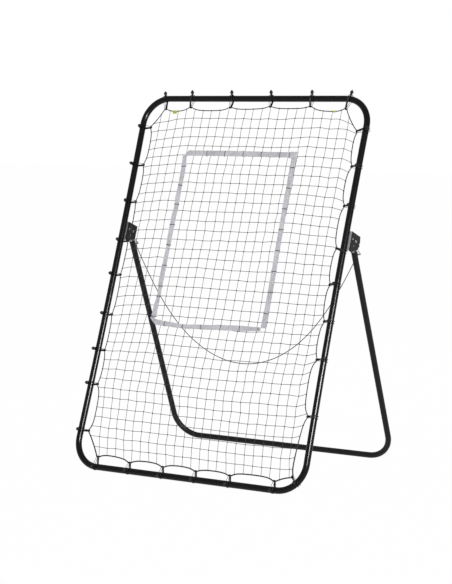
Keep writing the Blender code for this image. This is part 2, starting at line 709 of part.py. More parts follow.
def border_route():
    """The border cord: straight through each tie, drawn in towards the net between them."""
    anchors = []
    for _, place, reach, _, _ in tie_list():
        hook = place @ Vector((-reach, 0.0, 0.0))
        along = Vector((-place[2][0], 0.0, place[0][0])).normalized()
        anchors.append((hook - BORDER_STRAIGHT * along, hook + BORDER_STRAIGHT * along))
    route = []
    for index, (before, after) in enumerate(anchors):
        route += [before, after]
        target = anchors[(index + 1) % len(anchors)][0]
        span = target - after
        inwards = Vector((-span.z, 0.0, span.x)).normalized()
        for share, depth in ((0.28, 0.9), (0.72, 0.9)):
            route.append(after + share * span + depth * BORDER_SAGS[index] * inwards)
    return [tuple(point) for point in route]


def build_border():
    add_part("net_border_cord", wire_mesh("net_border_cord", border_route(), BORDER_R, 0, True), BORDER_TWINE, frame_plane)


# Net and target


def net_point(column, row):
    if (column, row) in NET_CORNERS:
        return NET_CORNERS[column, row]
    across = NET_LEFT + (NET_RIGHT - NET_LEFT) * column / NET_COLUMNS
    return across, NET_BOTTOM + (NET_TOP - NET_BOTTOM) * row / NET_ROWS


def build_net():
    """A flat square lattice: a grid whose cells are opened, then thickened to the twine."""
    bm = bmesh.new()
    bmesh.ops.create_grid(bm, x_segments=NET_COLUMNS, y_segments=NET_ROWS, size=0.5)
    for vert in bm.verts:
        column = round((vert.co.x + 0.5) * NET_COLUMNS)
        row = round((vert.co.y + 0.5) * NET_ROWS)
        across, up = net_point(column, row)
        vert.co = (across, 0.0, up)
    bm.normal_update()
    cells = list(bm.faces)
    bmesh.ops.inset_individual(bm, faces=cells, thickness=STRAND / 2, use_even_offset=True)
    bmesh.ops.delete(bm, geom=cells, context="FACES")
    mesh = bpy.data.meshes.new("net")
    bm.to_mesh(mesh)
    bm.free()
    obj = add_part("net", mesh, NET_TWINE, frame_plane)
    twine = obj.modifiers.new("twine", "SOLIDIFY")
    twine.thickness = STRAND
    twine.offset = 0.0


def build_target():
    """The webbing rectangle on the front of the net, folded over at one top corner."""
    left, right, bottom, top = TAPE_OUTER
    fold = TAPE_FOLD
    outer = [(left, bottom), (right, bottom), (right, top), (left + fold, top), (left, top - fold)]
    w = TAPE_WIDTH
    inner_fold = fold - w * 0.6
    inner = [(left + w, bottom + w), (right - w, bottom + w), (right - w, top - w),
             (left + w + inner_fold, top - w), (left + w, top - w - inner_fold)]
    mesh = flat_outline("target_webbing", [outer, inner], TAPE_THICKNESS / 2)
    stand_up = Matrix(((1, 0, 0, 0), (0, 0, -1, TAPE_THICKNESS / 2 - TAPE_FRONT), (0, 1, 0, 0), (0, 0, 0, 1)))
    mesh.transform(stand_up)
    add_part("target_webbing", mesh, WEBBING, frame_plane)


# Pull cord


def smooth_route(points, samples):
    """Points read at even steps from a smooth curve through the route's own points."""
    dense = []
    ends = [2 * points[0] - points[1]] + points + [2 * points[-1] - points[-2]]
    for a, b, c, d in zip(ends, ends[1:], ends[2:], ends[3:]):
        for i in range(16):
            t = i / 16
            dense.append(0.5 * (2 * b + (c - a) * t + (2 * a - 5 * b + 4 * c - d) * t ** 2 + (3 * b - a - 3 * c + d) * t ** 3))
    dense.append(points[-1])
    lengths = [0.0]
    for first, second in zip(dense, dense[1:]):
        lengths.append(lengths[-1] + (second - first).length)
    route = []
    index = 0
    for i in range(samples):
        target = lengths[-1] * i / (samples - 1)
        while index < len(lengths) - 2 and lengths[index + 1] < target:
            index += 1
        share = (target - lengths[index]) / (lengths[index + 1] - lengths[index])
        route.append(dense[index].lerp(dense[index + 1], share))
    return route, lengths[-1]


def build_pull_cord():
    """The thin cord that hangs from ring to ring behind the net."""
    slope_sin, slope_cos = math.sin(LEG_SLOPE), math.cos(LEG_SLOPE)
    plane_y = PIVOT_Y + RING_CENTRE[0] * slope_cos + RING_CENTRE[1] * slope_sin
    half = [Vector((across, plane_y, height)) for across, height in CORD_HALF_ROUTE]
    points = [Vector((-p.x, p.y, p.z)) for p in reversed(half[1:])] + half
    route, length = smooth_route(points, CORD_SAMPLES)
    curve = curve_data("pull_cord", route, CORD_R, 2)
    add_part("pull_cord", curve, CORD)
    print(f"pull cord length {length:.3f} m")


build_frame()
build_leg_tubes()
for side_name, side_sign in (("left", -1), ("right", 1)):
    build_bracket(side_name, side_sign)
    build_pivot(side_name, side_sign)
    build_tongue(side_name, side_sign)
    build_latch(side_name, side_sign)
    build_spring(side_name, side_sign)
build_ties()
build_border()
build_net()
build_target()
build_pull_cord()
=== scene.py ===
"""Looks of a rebound net: a leaning frame, a net hung on rubber ties, a webbing target and a folding leg."""

import logging
import math
from dataclasses import dataclass
from enum import Enum
from typing import Iterable, Sequence, Union

import bmesh
import bpy
from mathutils import Matrix, Vector, noise


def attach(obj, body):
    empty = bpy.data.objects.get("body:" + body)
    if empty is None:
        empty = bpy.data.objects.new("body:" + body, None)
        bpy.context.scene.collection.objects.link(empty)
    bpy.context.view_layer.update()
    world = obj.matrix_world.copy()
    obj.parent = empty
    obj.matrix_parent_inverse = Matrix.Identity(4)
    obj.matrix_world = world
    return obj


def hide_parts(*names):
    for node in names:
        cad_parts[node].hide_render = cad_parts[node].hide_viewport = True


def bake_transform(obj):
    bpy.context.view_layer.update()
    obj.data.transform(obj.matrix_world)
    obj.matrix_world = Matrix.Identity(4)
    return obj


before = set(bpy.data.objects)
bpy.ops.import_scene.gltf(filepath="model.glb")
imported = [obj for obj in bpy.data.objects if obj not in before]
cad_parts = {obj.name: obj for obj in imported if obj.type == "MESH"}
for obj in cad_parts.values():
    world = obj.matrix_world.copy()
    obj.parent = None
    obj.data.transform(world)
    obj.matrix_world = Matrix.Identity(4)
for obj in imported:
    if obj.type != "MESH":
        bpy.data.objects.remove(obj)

log = logging.getLogger("rebound_net")

Pair = tuple[float, float]
Triple = tuple[float, float, float]
Colour = Triple
Number = Union[float, "Signal"]
Shape = bmesh.types.BMesh
Corner = bmesh.types.BMVert
Edge = bmesh.types.BMEdge
Material = bpy.types.Material
Piece = bpy.types.Object

SEAM_STEP = 0.001
TUBE_CREASE = 40.0
CORD_CREASE = 80.0
SOFT_CREASE = 60.0
WHITE = (1.0, 1.0, 1.0, 1.0)


# Planes, routes and lofts


@dataclass(frozen=True)
class TiltedPlane:
    """A plane through a line across the object, with its own across, behind and up."""

    y: float
    z: float
    tilt: float

    @property
    def matrix(self) -> Matrix:
        """The turn and shift from the plane's own coordinates to the object's."""
        return Matrix.Translation((0.0, self.y, self.z)) @ Matrix.Rotation(self.tilt, 4, "X")


FRAME_PLANE = TiltedPlane(y=-0.4348, z=0.0174, tilt=math.radians(-20.9))
LEG_PLANE = TiltedPlane(y=0.02831, z=1.05806, tilt=math.radians(22.4632))
HINGE_X = 0.5896


@dataclass(frozen=True)
class Ring:
    """One cross-section of a loft: where it stands and its two half sizes."""

    place: Matrix
    width: float
    depth: float


def frames_along(points: Sequence[Vector], side: Vector | None = None, closed: bool = False) -> list[Matrix]:
    """Gives a frame at each point of a route, its Z axis along the route.

    Args:
        points: The route's points.
        side: The direction that each frame's Y axis keeps to. Without one, frames are carried without twist.
        closed: Whether the last point leads back to the first.

    Returns:
        One matrix a point.
    """
    count = len(points)
    frames = []
    carried = None
    for index, point in enumerate(points):
        before = points[index - 1] if index or closed else point
        after = points[(index + 1) % count] if index + 1 < count or closed else point
        along = (after - before).normalized()
        if side is None:
            start = carried or along.orthogonal()
            depth = (start - along * start.dot(along)).normalized()
            carried = depth
        else:
            depth = (side - along * side.dot(along)).normalized()
        width = depth.cross(along)
        turned = Matrix((width, depth, along)).transposed().to_4x4()
        turned.translation = point
        frames.append(turned)
    return frames


def loft(rings: Sequence[Ring], sides: int, closed: bool = False) -> Shape:
    """Extrudes a circle from ring to ring.

    Args:
        rings: The cross-sections in order.
        sides: Corners of each cross-section.
        closed: Whether the last ring joins the first. An open loft gets a face on each end.

    Returns:
        A closed mesh with a UV map: turns round it, and metres along it.
    """
    bm = bmesh.new()
    first = bmesh.ops.create_circle(bm, segments=sides, radius=1.0)["verts"]
    circle = [vert.co.copy() for vert in first]
    corners = list(first)
    edges = bm.edges[:]
    layers = []
    for index, ring in enumerate(rings):
        if index:
            grown = bmesh.ops.extrude_edge_only(bm, edges=edges)["geom"]
            corners = [_grown_from(vert, set(grown)) for vert in corners]
            edges = [item for item in grown if isinstance(item, Edge) and _rim(item, corners)]
        for vert, spot in zip(corners, circle):
            vert.co = ring.place @ Vector((spot.x * ring.width, spot.y * ring.depth, 0.0))
        layers.append(corners)
    rims = [_loop_edges(layers[0]), _loop_edges(layers[-1])]
    if closed:
        bmesh.ops.bridge_loops(bm, edges=rims[0] + rims[1])
    else:
        for rim in rims:
            bmesh.ops.edgeloop_fill(bm, edges=rim)
    bmesh.ops.recalc_face_normals(bm, faces=bm.faces)
    _unroll(bm, layers, rings, closed)
    return bm


def _grown_from(vert: Corner, grown: set) -> Corner:
    """The corner that an extrusion grew from another one."""
    return next(e.other_vert(vert) for e in vert.link_edges if e.other_vert(vert) in grown)


def _rim(edge: Edge, corners: Sequence[Corner]) -> bool:
    """Whether an edge runs round the newest ring."""
    return edge.verts[0] in corners and edge.verts[1] in corners


def _loop_edges(corners: Sequence[Corner]) -> list[Edge]:
    """The edges that join neighbouring corners of one ring."""
    pairs = zip(corners, corners[1:] + corners[:1])
    return [edge for here, there in pairs for edge in here.link_edges if edge.other_vert(here) is there]


def _unroll(bm: Shape, layers: list, rings: Sequence[Ring], closed: bool) -> None:
    """Writes a loft's UV map.

    Args:
        bm: The loft's mesh.
        layers: Its corners, ring by ring.
        rings: The rings they stand on.
        closed: Whether the last ring joins the first.
    """
    uv = bm.loops.layers.uv.new("UVMap")
    length = [0.0]
    for here, there in zip(rings, rings[1:]):
        length.append(length[-1] + (there.place.translation - here.place.translation).length)
    spot = {v: (k, i) for i, corners in enumerate(layers) for k, v in enumerate(corners)}
    sides = len(layers[0])
    last = len(layers) - 1
    for face in bm.faces:
        columns = [spot[loop.vert][0] for loop in face.loops]
        rows = [spot[loop.vert][1] for loop in face.loops]
        wraps = max(columns) - min(columns) > 1 and len(face.loops) == 4
        closing = closed and max(rows) - min(rows) > 1
        for loop in face.loops:
            column, row = spot[loop.vert]
            turn = sides if wraps and column == 0 else column
            along = length[last] + SEAM_STEP if closing and row == 0 else length[row]
            loop[uv].uv = (turn / sides, along)


def swept(points: Sequence[Vector], radius: float, sides: int = 8, side: Vector | None = None,
          closed: bool = False) -> Shape:
    """A round wire or cord of one thickness along a route."""
    return loft([Ring(place, radius, radius) for place in frames_along(points, side, closed)], sides, closed)


def arc(centre: Pair, radius: float, start: float, sweep: float, steps: int) -> list[Pair]:
    """Points on a flat arc, ends included, with angles in degrees."""
    angles = [math.radians(start + sweep * i / steps) for i in range(steps + 1)]
    return [(centre[0] + radius * math.cos(a), centre[1] + radius * math.sin(a)) for a in angles]


def spaced(first: float, last: float, spans: int) -> list[float]:
    """Even steps from first to last, ends included."""
    return [first + (last - first) * i / spans for i in range(spans + 1)]


def smooth_line(points: Sequence[Vector], steps: int) -> list[Vector]:
    """Reads a smooth curve through points.

    Args:
        points: The points that the curve passes through.
        steps: Samples in each span.

    Returns:
        The samples, and the last point.
    """
    last = len(points) - 1
    line = []
    for index in range(last):
        a, b, c, d = (points[max(0, min(last, index + k))] for k in (-1, 0, 1, 2))
        square = 2 * a - 5 * b + 4 * c - d
        cube = 3 * b - a - 3 * c + d
        for step in range(steps):
            t = step / steps
            line.append(0.5 * (2 * b + (c - a) * t + square * t**2 + cube * t**3))
    return line + [points[-1].copy()]


def joined(meshes: Iterable[Shape]) -> Shape:
    """Puts several meshes into one and frees them.

    Args:
        meshes: The meshes.

    Returns:
        One mesh that holds them all.
    """
    whole = bmesh.new()
    holder = bpy.data.meshes.new("holder")
    for bm in meshes:
        bm.to_mesh(holder)
        bm.free()
        whole.from_mesh(holder)
    bpy.data.meshes.remove(holder)
    return whole


# Pieces


class Body(Enum):
    """The CAD bodies that pieces ride on."""

    FRAME = "frame"
    LEG = "rear_leg"
    LATCH_LEFT = "latch_left"
    LATCH_RIGHT = "latch_right"


class Side(Enum):
    """Left or right of someone who faces the net, with its sign along X."""

    LEFT = -1
    RIGHT = 1

    @property
    def word(self) -> str:
        """The side's name as CAD nodes spell it."""
        return self.name.lower()

    @property
    def latch(self) -> Body:
        """The latch's body on this side."""
        return Body.LATCH_RIGHT if self is Side.RIGHT else Body.LATCH_LEFT


class Slot(Enum):
    """The record's material slots."""

    COAT = "powder_coat_black"
    ZINC = "zinc_plate"
    RUBBER = "black_rubber"
    TWINE = "net_twine"
    BORDER = "border_cord_black"
    WEBBING = "target_webbing_grey"
    CORD = "pull_cord_grey"


@dataclass(frozen=True)
class Finish:
    """A finished material and the record's slot that it fills."""

    material: Material
    slot: Slot


@dataclass(frozen=True)
class Home:
    """Where a piece belongs: the plane that it is drawn in, or the object's own, and its CAD body."""

    plane: TiltedPlane | None = None
    body: Body | None = None


ON_FRAME = Home(FRAME_PLANE, Body.FRAME)
ON_LEG = Home(LEG_PLANE, Body.LEG)


def finish_piece(name: str, bm: Shape, home: Home, finish: Finish, nodes: Sequence[str] = (),
                 crease: float = 50.0) -> Piece:
    """Makes a piece of the object from a mesh.

    Args:
        name: The piece's name.
        bm: Its shape, freed here.
        home: Its plane and the CAD body it rides on. A piece without a body is attached to neither.
        finish: Its material; its slot is not used here.
        nodes: The CAD nodes that it stands for.
        crease: Edges sharper than this angle in degrees stay hard.

    Returns:
        The piece's object, at the origin.
    """
    if home.plane:
        bmesh.ops.transform(bm, matrix=home.plane.matrix, verts=bm.verts)
    mesh = bpy.data.meshes.new(name)
    bm.to_mesh(mesh)
    bm.free()
    mesh.shade_smooth()
    mesh.set_sharp_from_angle(angle=math.radians(crease))
    mesh.materials.append(finish.material)
    obj = bpy.data.objects.new(name, mesh)
    bpy.context.scene.collection.objects.link(obj)
    if home.body:
        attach(obj, home.body.value)
    if nodes:
        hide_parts(*nodes)
    log.info("%s: %d faces", name, len(mesh.polygons))
    return obj


@dataclass(frozen=True)
class Softener:
    """Copies CAD nodes, rounds their hard edges over, and keeps their flat faces shading flat."""

    merge: float = 2e-5
    flat: float = math.radians(2.0)
    hard: float = math.radians(34.0)
    crease: float = 35.0

    def copy(self, node: str, width: float, finish: Finish, body: Body) -> Piece:
        """Makes the piece that stands for a CAD node.

        Args:
            node: The CAD node that it copies.
            width: How far the rounding reaches, in metres.
            finish: Its material; its slot is not used here.
            body: The CAD body it rides on.

        Returns:
            The piece's object.
        """
        bm = bmesh.new()
        bm.from_mesh(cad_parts[node].data)
        bmesh.ops.remove_doubles(bm, verts=bm.verts, dist=self.merge)
        bmesh.ops.dissolve_limit(bm, angle_limit=self.flat, verts=bm.verts, edges=bm.edges)
        hard = [e for e in bm.edges if len(e.link_faces) == 2 and e.calc_face_angle(0.0) > self.hard]
        bmesh.ops.bevel(bm, geom=hard, offset=width, segments=2, profile=0.5, affect="EDGES",
                        clamp_overlap=True, material=-1)
        obj = finish_piece(f"{node}_finished", bm, Home(None, body), finish, (node,), self.crease)
        obj.modifiers.new("flat_faces", "WEIGHTED_NORMAL").keep_sharp = True
        return obj


SOFTENER = Softener()


# Shader writing


class Signal:
    """A number that varies over a surface, with arithmetic that adds Math nodes."""

    def __init__(self, writer: "NodeWriter", socket: bpy.types.NodeSocket) -> None:
        """Wraps a socket of the writer's tree."""
        self.writer = writer
        self.socket = socket

    def _with(self, operation: str, first: Number, second: Number = 0.0, clamp: bool = False) -> "Signal":
        """Adds a Math node.

        Args:
            operation: The node's operation.
            first: Its first value.
            second: Its second value.
            clamp: Whether the result is kept between 0 and 1.

        Returns:
            The node's result.
        """
        settings = {"operation": operation, "use_clamp": clamp}
        node = self.writer.node("ShaderNodeMath", settings, {0: first, 1: second})
        return Signal(self.writer, node.outputs[0])

    def __add__(self, other: Number) -> "Signal":
        """Sum."""
        return self._with("ADD", self, other)

    def __sub__(self, other: Number) -> "Signal":
        """Difference."""
        return self._with("SUBTRACT", self, other)

    def __mul__(self, other: Number) -> "Signal":
        """Product."""
        return self._with("MULTIPLY", self, other)

    def __truediv__(self, other: Number) -> "Signal":
        """Quotient."""
        return self._with("DIVIDE", self, other)

    def __rsub__(self, other: Number) -> "Signal":
        """Difference from a number on the left."""
        return self._with("SUBTRACT", other, self)

    def __rtruediv__(self, other: Number) -> "Signal":
        """Share of a number on the left."""
        return self._with("DIVIDE", other, self)

    __radd__ = __add__
    __rmul__ = __mul__

    def clamped(self) -> "Signal":
        """The value kept between 0 and 1."""
        return self._with("ADD", self, 0.0, clamp=True)

    def sine(self) -> "Signal":
        """The value's sine."""
        return self._with("SINE", self)


class NodeWriter:
    """Adds nodes to one node tree."""

    def __init__(self, tree: bpy.types.NodeTree) -> None:
        """Takes the tree."""
        self.tree = tree

    def node(self, kind: str, settings: dict | None = None, inputs: dict | None = None) -> bpy.types.Node:
        """Adds a node.

        Args:
            kind: The node's type.
            settings: Attributes that are set first.
            inputs: Values or links of its sockets, by name or number.

        Returns:
            The node.
        """
        made = self.tree.nodes.new(kind)
        for key, value in (settings or {}).items():
            setattr(made, key, value)
        for key, value in (inputs or {}).items():
            self.feed(made.inputs[key], value)
        return made

    def feed(self, socket: bpy.types.NodeSocket, value: object) -> None:
        """Sets a socket's value, or links it.

        Args:
            socket: The socket.
            value: A plain value, a signal or an output socket.
        """
        if isinstance(value, Signal):
            self.tree.links.new(value.socket, socket)
        elif isinstance(value, bpy.types.NodeSocket):
            self.tree.links.new(value, socket)
        else:
            socket.default_value = value


class ShaderWriter(NodeWriter):
    """Builds one material with a Principled shader."""

    def __init__(self, name: str) -> None:
        """Starts a material.

        Args:
            name: Its name.
        """
        self.material = bpy.data.materials.new(name)
        self.material.use_nodes = True
        super().__init__(self.material.node_tree)
        self.shader = self.tree.nodes["Principled BSDF"]

    def constants(self, **values: object) -> None:
        """Sets the shader's own sockets, spelt with underscores for spaces."""
        for key, value in values.items():
            self.shader.inputs[key.replace("_", " ")].default_value = value

    def object_place(self) -> bpy.types.NodeSocket:
        """Object coordinates, in metres."""
        return self.node("ShaderNodeTexCoord").outputs["Object"]

    def unrolled(self) -> tuple[Signal, Signal]:
        """The UV map as turns round a cord and metres along it."""
        split = self.node("ShaderNodeSeparateXYZ", inputs={0: self.node("ShaderNodeTexCoord").outputs["UV"]})
        return Signal(self, split.outputs[0]), Signal(self, split.outputs[1])

    def grain(self, scale: float, detail: float = 2.0, roughness: float = 0.5) -> Signal:
        """Noise over the object's own coordinates, from 0 to 1."""
        inputs = {"Vector": self.object_place(), "Scale": scale, "Detail": detail, "Roughness": roughness}
        return Signal(self, self.node("ShaderNodeTexNoise", {"noise_dimensions": "3D"}, inputs).outputs[0])

    def between(self, factor: Number, low: Colour, high: Colour) -> bpy.types.NodeSocket:
        """A colour from low to high as factor goes from 0 to 1."""
        inputs = {0: factor, 6: (*low, 1.0), 7: (*high, 1.0)}
        return self.node("ShaderNodeMix", {"data_type": "RGBA", "clamp_factor": True}, inputs).outputs[2]

    def raised(self, height: Signal, distance: float, strength: float) -> None:
        """Feeds a height through Bump to the shader's normal."""
        inputs = {"Height": height, "Distance": distance, "Strength": strength}
        self.feed(self.shader.inputs["Normal"], self.node("ShaderNodeBump", inputs=inputs).outputs[0])

    def dress(self, colour: object, roughness: object) -> Material:
        """Feeds the shader's colour and roughness.

        Args:
            colour: Its colour, as a socket or a plain value.
            roughness: Its roughness, as a signal or a number.

        Returns:
            The finished material.
        """
        self.feed(self.shader.inputs["Base Color"], colour)
        self.feed(self.shader.inputs["Roughness"], roughness)
        return self.material


# Finishes


@dataclass(frozen=True)
class PowderCoat:
    """Glossy black powder coat: faint orange peel, dust and fine rubbing."""

    name: str = "black_powder_coat"
    base: Colour = (0.0040, 0.0039, 0.0056)
    dusty: Colour = (0.0075, 0.0073, 0.0098)
    gloss: float = 0.16
    specular: float = 0.16
    cloud_scale: float = 9.0
    peel_scale: float = 900.0
    scuff_scale: float = 160.0
    scuff_level: float = 0.66
    peel_height: float = 0.00001

    def build(self) -> Material:
        """Makes the material.

        Returns:
            The finished material.
        """
        writer = ShaderWriter(self.name)
        cloud = writer.grain(self.cloud_scale, 3.0)
        peel = writer.grain(self.peel_scale, 1.0)
        scuff = (writer.grain(self.scuff_scale, 4.0, 0.7) - self.scuff_level).clamped() * 3.0
        writer.raised(peel, self.peel_height, 0.06)
        writer.constants(Specular_IOR_Level=self.specular)
        return writer.dress(writer.between(cloud * 0.6 + scuff * 0.6, self.base, self.dusty),
                            cloud * 0.06 + scuff * 0.15 + self.gloss)


@dataclass(frozen=True)
class ZincPlate:
    """Bright zinc plate: spangled steel with dull patches."""

    name: str = "bright_zinc"
    base: Colour = (0.50, 0.50, 0.53)
    dull: Colour = (0.36, 0.36, 0.38)
    roughness: float = 0.30
    spangle_scale: float = 420.0
    patch_scale: float = 60.0
    spangle_height: float = 0.00003

    def build(self) -> Material:
        """Makes the material.

        Returns:
            The finished material.
        """
        writer = ShaderWriter(self.name)
        inputs = {"Vector": writer.object_place(), "Scale": self.spangle_scale}
        flake = Signal(writer, writer.node("ShaderNodeTexVoronoi", inputs=inputs).outputs["Distance"])
        patch = writer.grain(self.patch_scale, 3.0)
        writer.raised(flake, self.spangle_height, 0.4)
        writer.constants(Metallic=1.0)
        return writer.dress(writer.between(patch * 0.7 + flake * 0.4, self.base, self.dull),
                            patch * 0.22 + self.roughness)


@dataclass(frozen=True)
class PaintedLightPlate:
    """Pale grey paint on the bracket's web and inside and on the tongue's blade: painted light, which makes
    the web's strip and the bracket's holes read light.
    """

    name: str = "pale_painted_light"
    base: Colour = (0.72, 0.71, 0.75)
    dull: Colour = (0.52, 0.51, 0.55)
    roughness: float = 0.35
    patch_scale: float = 80.0
    grit_scale: float = 900.0
    grit_height: float = 0.00003

    def build(self) -> Material:
        """Makes the material.

        Returns:
            The finished material.
        """
        writer = ShaderWriter(self.name)
        patch = writer.grain(self.patch_scale, 3.0, 0.6)
        writer.raised(writer.grain(self.grit_scale, 1.0), self.grit_height, 0.3)
        return writer.dress(writer.between(patch, self.base, self.dull), patch * 0.2 + self.roughness)


@dataclass(frozen=True)
class MouldedRubber:
    """Matt black rubber with a fine moulded skin."""

    name: str = "moulded_rubber"
    base: Colour = (0.0025, 0.0025, 0.0030)
    bloom: Colour = (0.0060, 0.0060, 0.0068)
    roughness: float = 0.42
    specular: float = 0.22
    skin_scale: float = 1400.0
    bloom_scale: float = 70.0
    skin_height: float = 0.00005

    def build(self) -> Material:
        """Makes the material.

        Returns:
            The finished material.
        """
        writer = ShaderWriter(self.name)
        skin = writer.grain(self.skin_scale)
        bloom = writer.grain(self.bloom_scale, 3.0)
        writer.raised(skin, self.skin_height, 0.5)
        writer.constants(Specular_IOR_Level=self.specular)
        return writer.dress(writer.between(bloom * 0.8, self.base, self.bloom), bloom * 0.16 + self.roughness)


@dataclass(frozen=True)
class TwistedTwine:
    """Twine or cord of twisted yarns, read from the cord's own UV map."""

    name: str
    base: Colour
    worn: Colour
    lay: float
    yarns: int
    relief: float
    roughness: float = 0.82
    fibre_scale: float = 2600.0
    fade_scale: float = 14.0

    def build(self) -> Material:
        """Makes the material, its yarns running round once in each lay length.

        Returns:
            The finished material.
        """
        writer = ShaderWriter(self.name)
        turn, along = writer.unrolled()
        wave = ((turn * float(self.yarns) + along / self.lay) * math.tau).sine() * 0.5 + 0.5
        fibre = writer.grain(self.fibre_scale)
        fade = writer.grain(self.fade_scale)
        writer.raised(wave + fibre * 0.3, self.relief, 0.9)
        writer.constants(Sheen_Weight=0.15, Specular_IOR_Level=0.3)
        shade = writer.between(wave * 0.45 + fade * 0.5 + fibre * 0.15, self.base, self.worn)
        return writer.dress(shade, fibre * 0.12 + self.roughness)


@dataclass(frozen=True)
class BraidedCord:
    """A braided cover: two sets of yarns that cross, read from the cord's own UV map."""

    name: str
    base: Colour
    worn: Colour
    pick: float = 0.0042
    yarns: int = 6
    roughness: float = 0.72
    fibre_scale: float = 2200.0
    weave_height: float = 0.00030

    def build(self) -> Material:
        """Makes the material.

        Returns:
            The finished material.
        """
        writer = ShaderWriter(self.name)
        turn, along = writer.unrolled()
        left = ((turn * float(self.yarns) + along / self.pick) * math.tau).sine()
        right = ((turn * float(self.yarns) - along / self.pick) * math.tau).sine()
        weave = (left * right) * 0.5 + 0.5
        fibre = writer.grain(self.fibre_scale)
        writer.raised(weave + fibre * 0.25, self.weave_height, 0.9)
        writer.constants(Sheen_Weight=0.1, Specular_IOR_Level=0.35)
        return writer.dress(writer.between(weave * 0.5 + fibre * 0.3, self.base, self.worn),
                            fibre * 0.15 + self.roughness)


@dataclass(frozen=True)
class FlatWebbing:
    """Flat woven tape: ribs across, warp ends along, and soft creases with painted shade in their hollows."""

    name: str = "grey_webbing"
    base: Colour = (0.42, 0.41, 0.45)
    pale: Colour = (0.84, 0.83, 0.87)
    rib: float = 0.0016
    end: float = 0.0011
    roughness: float = 0.74
    crease_scale: float = 95.0
    sweep_scale: float = 14.0
    fibre_scale: float = 1800.0
    crease_height: float = 0.0016

    def build(self) -> Material:
        """Makes the material from a UV map in metres across and along the tape.

        Returns:
            The finished material.
        """
        writer = ShaderWriter(self.name)
        across, along = writer.unrolled()
        ribs = (along * (math.tau / self.rib)).sine() * 0.5 + 0.5
        ends = (across * (math.tau / self.end)).sine() * 0.5 + 0.5
        crease = writer.grain(self.crease_scale, 3.0, 0.65)
        sweep = writer.grain(self.sweep_scale)
        fibre = writer.grain(self.fibre_scale)
        writer.raised(ribs * 0.10 + ends * 0.07 + fibre * 0.04 + crease, self.crease_height, 0.7)
        writer.constants(Sheen_Weight=0.2, Specular_IOR_Level=0.3)
        # The creases' height also darkens the colour in their hollows: painted shade; the ribs, warp ends and
        # sweep are the tape's own weave and uneven tone
        light = ribs * 0.15 + ends * 0.10 + crease * 0.9 + sweep * 0.8 - 0.50
        return writer.dress(writer.between(light, self.base, self.pale), fibre * 0.1 + self.roughness)


@dataclass(frozen=True)
class TabCloth:
    """Bright plain cloth of the two tabs on the border cord."""

    name: str = "bright_tab_cloth"
    base: Colour = (0.52, 0.60, 0.05)
    shade: Colour = (0.40, 0.47, 0.04)
    roughness: float = 0.75
    weave_scale: float = 900.0
    weave_height: float = 0.00008

    def build(self) -> Material:
        """Makes the material.

        Returns:
            The finished material.
        """
        writer = ShaderWriter(self.name)
        weave = writer.grain(self.weave_scale)
        writer.raised(weave, self.weave_height, 0.6)
        return writer.dress(writer.between(weave, self.base, self.shade), self.roughness)


class Finishes:
    """Every finish of the object, its material made once."""

    def __init__(self) -> None:
        """Makes them all."""
        self.coat = Finish(PowderCoat().build(), Slot.COAT)
        satin = PowderCoat("satin_powder_coat", (0.0070, 0.0068, 0.0082), (0.0120, 0.0117, 0.0134),
                           0.42, 0.18)
        self.leg_coat = Finish(satin.build(), Slot.COAT)
        matt = PowderCoat("bracket_coat", (0.0050, 0.0048, 0.0064), (0.0100, 0.0097, 0.0118), 0.40, 0.14)
        self.plate = Finish(matt.build(), Slot.COAT)
        self.zinc = Finish(ZincPlate().build(), Slot.ZINC)
        # Pale painted light for the bracket's web and inside and for the tongue's blade
        self.web = Finish(PaintedLightPlate().build(), Slot.COAT)
        self.rubber = Finish(MouldedRubber().build(), Slot.RUBBER)
        self.twine = Finish(TwistedTwine("net_twine_dark", (0.018, 0.017, 0.020), (0.048, 0.046, 0.051),
                                         0.0042, 1, 0.00020).build(), Slot.TWINE)
        # The knots are a darker copy of the twine: painted shade in their tight turns
        self.knot = Finish(TwistedTwine("net_knot_painted_shade", (0.008, 0.008, 0.010), (0.024, 0.023, 0.026),
                                        0.0030, 1, 0.00020).build(), Slot.TWINE)
        self.border = Finish(BraidedCord("border_braid", (0.0080, 0.0080, 0.0090),
                                         (0.0260, 0.0260, 0.0280)).build(), Slot.BORDER)
        self.pull = Finish(TwistedTwine("pull_cord_twist", (0.016, 0.016, 0.018), (0.045, 0.044, 0.048),
                                        0.0050, 1, 0.00025).build(), Slot.CORD)
        self.webbing = Finish(FlatWebbing().build(), Slot.WEBBING)
        self.tab = Finish(TabCloth().build(), Slot.BORDER)


# Tubes

# How a tube's end is drawn in: its neck, the slope up to its full size, and the neck's blunt tip
NECK_END = 0.0003
SLOPE_START = 0.0005
SLOPE_LENGTH = 0.0025
SLOPE_STEPS = (0.3, 0.6, 1.0)
SHOULDER = 0.004
TIP_LENGTH = 0.001
TIP_CHAMFER = 0.0006
# How an open mouth is rolled, and how far in its bore shows
LIP = 0.0004
BORE = 0.03


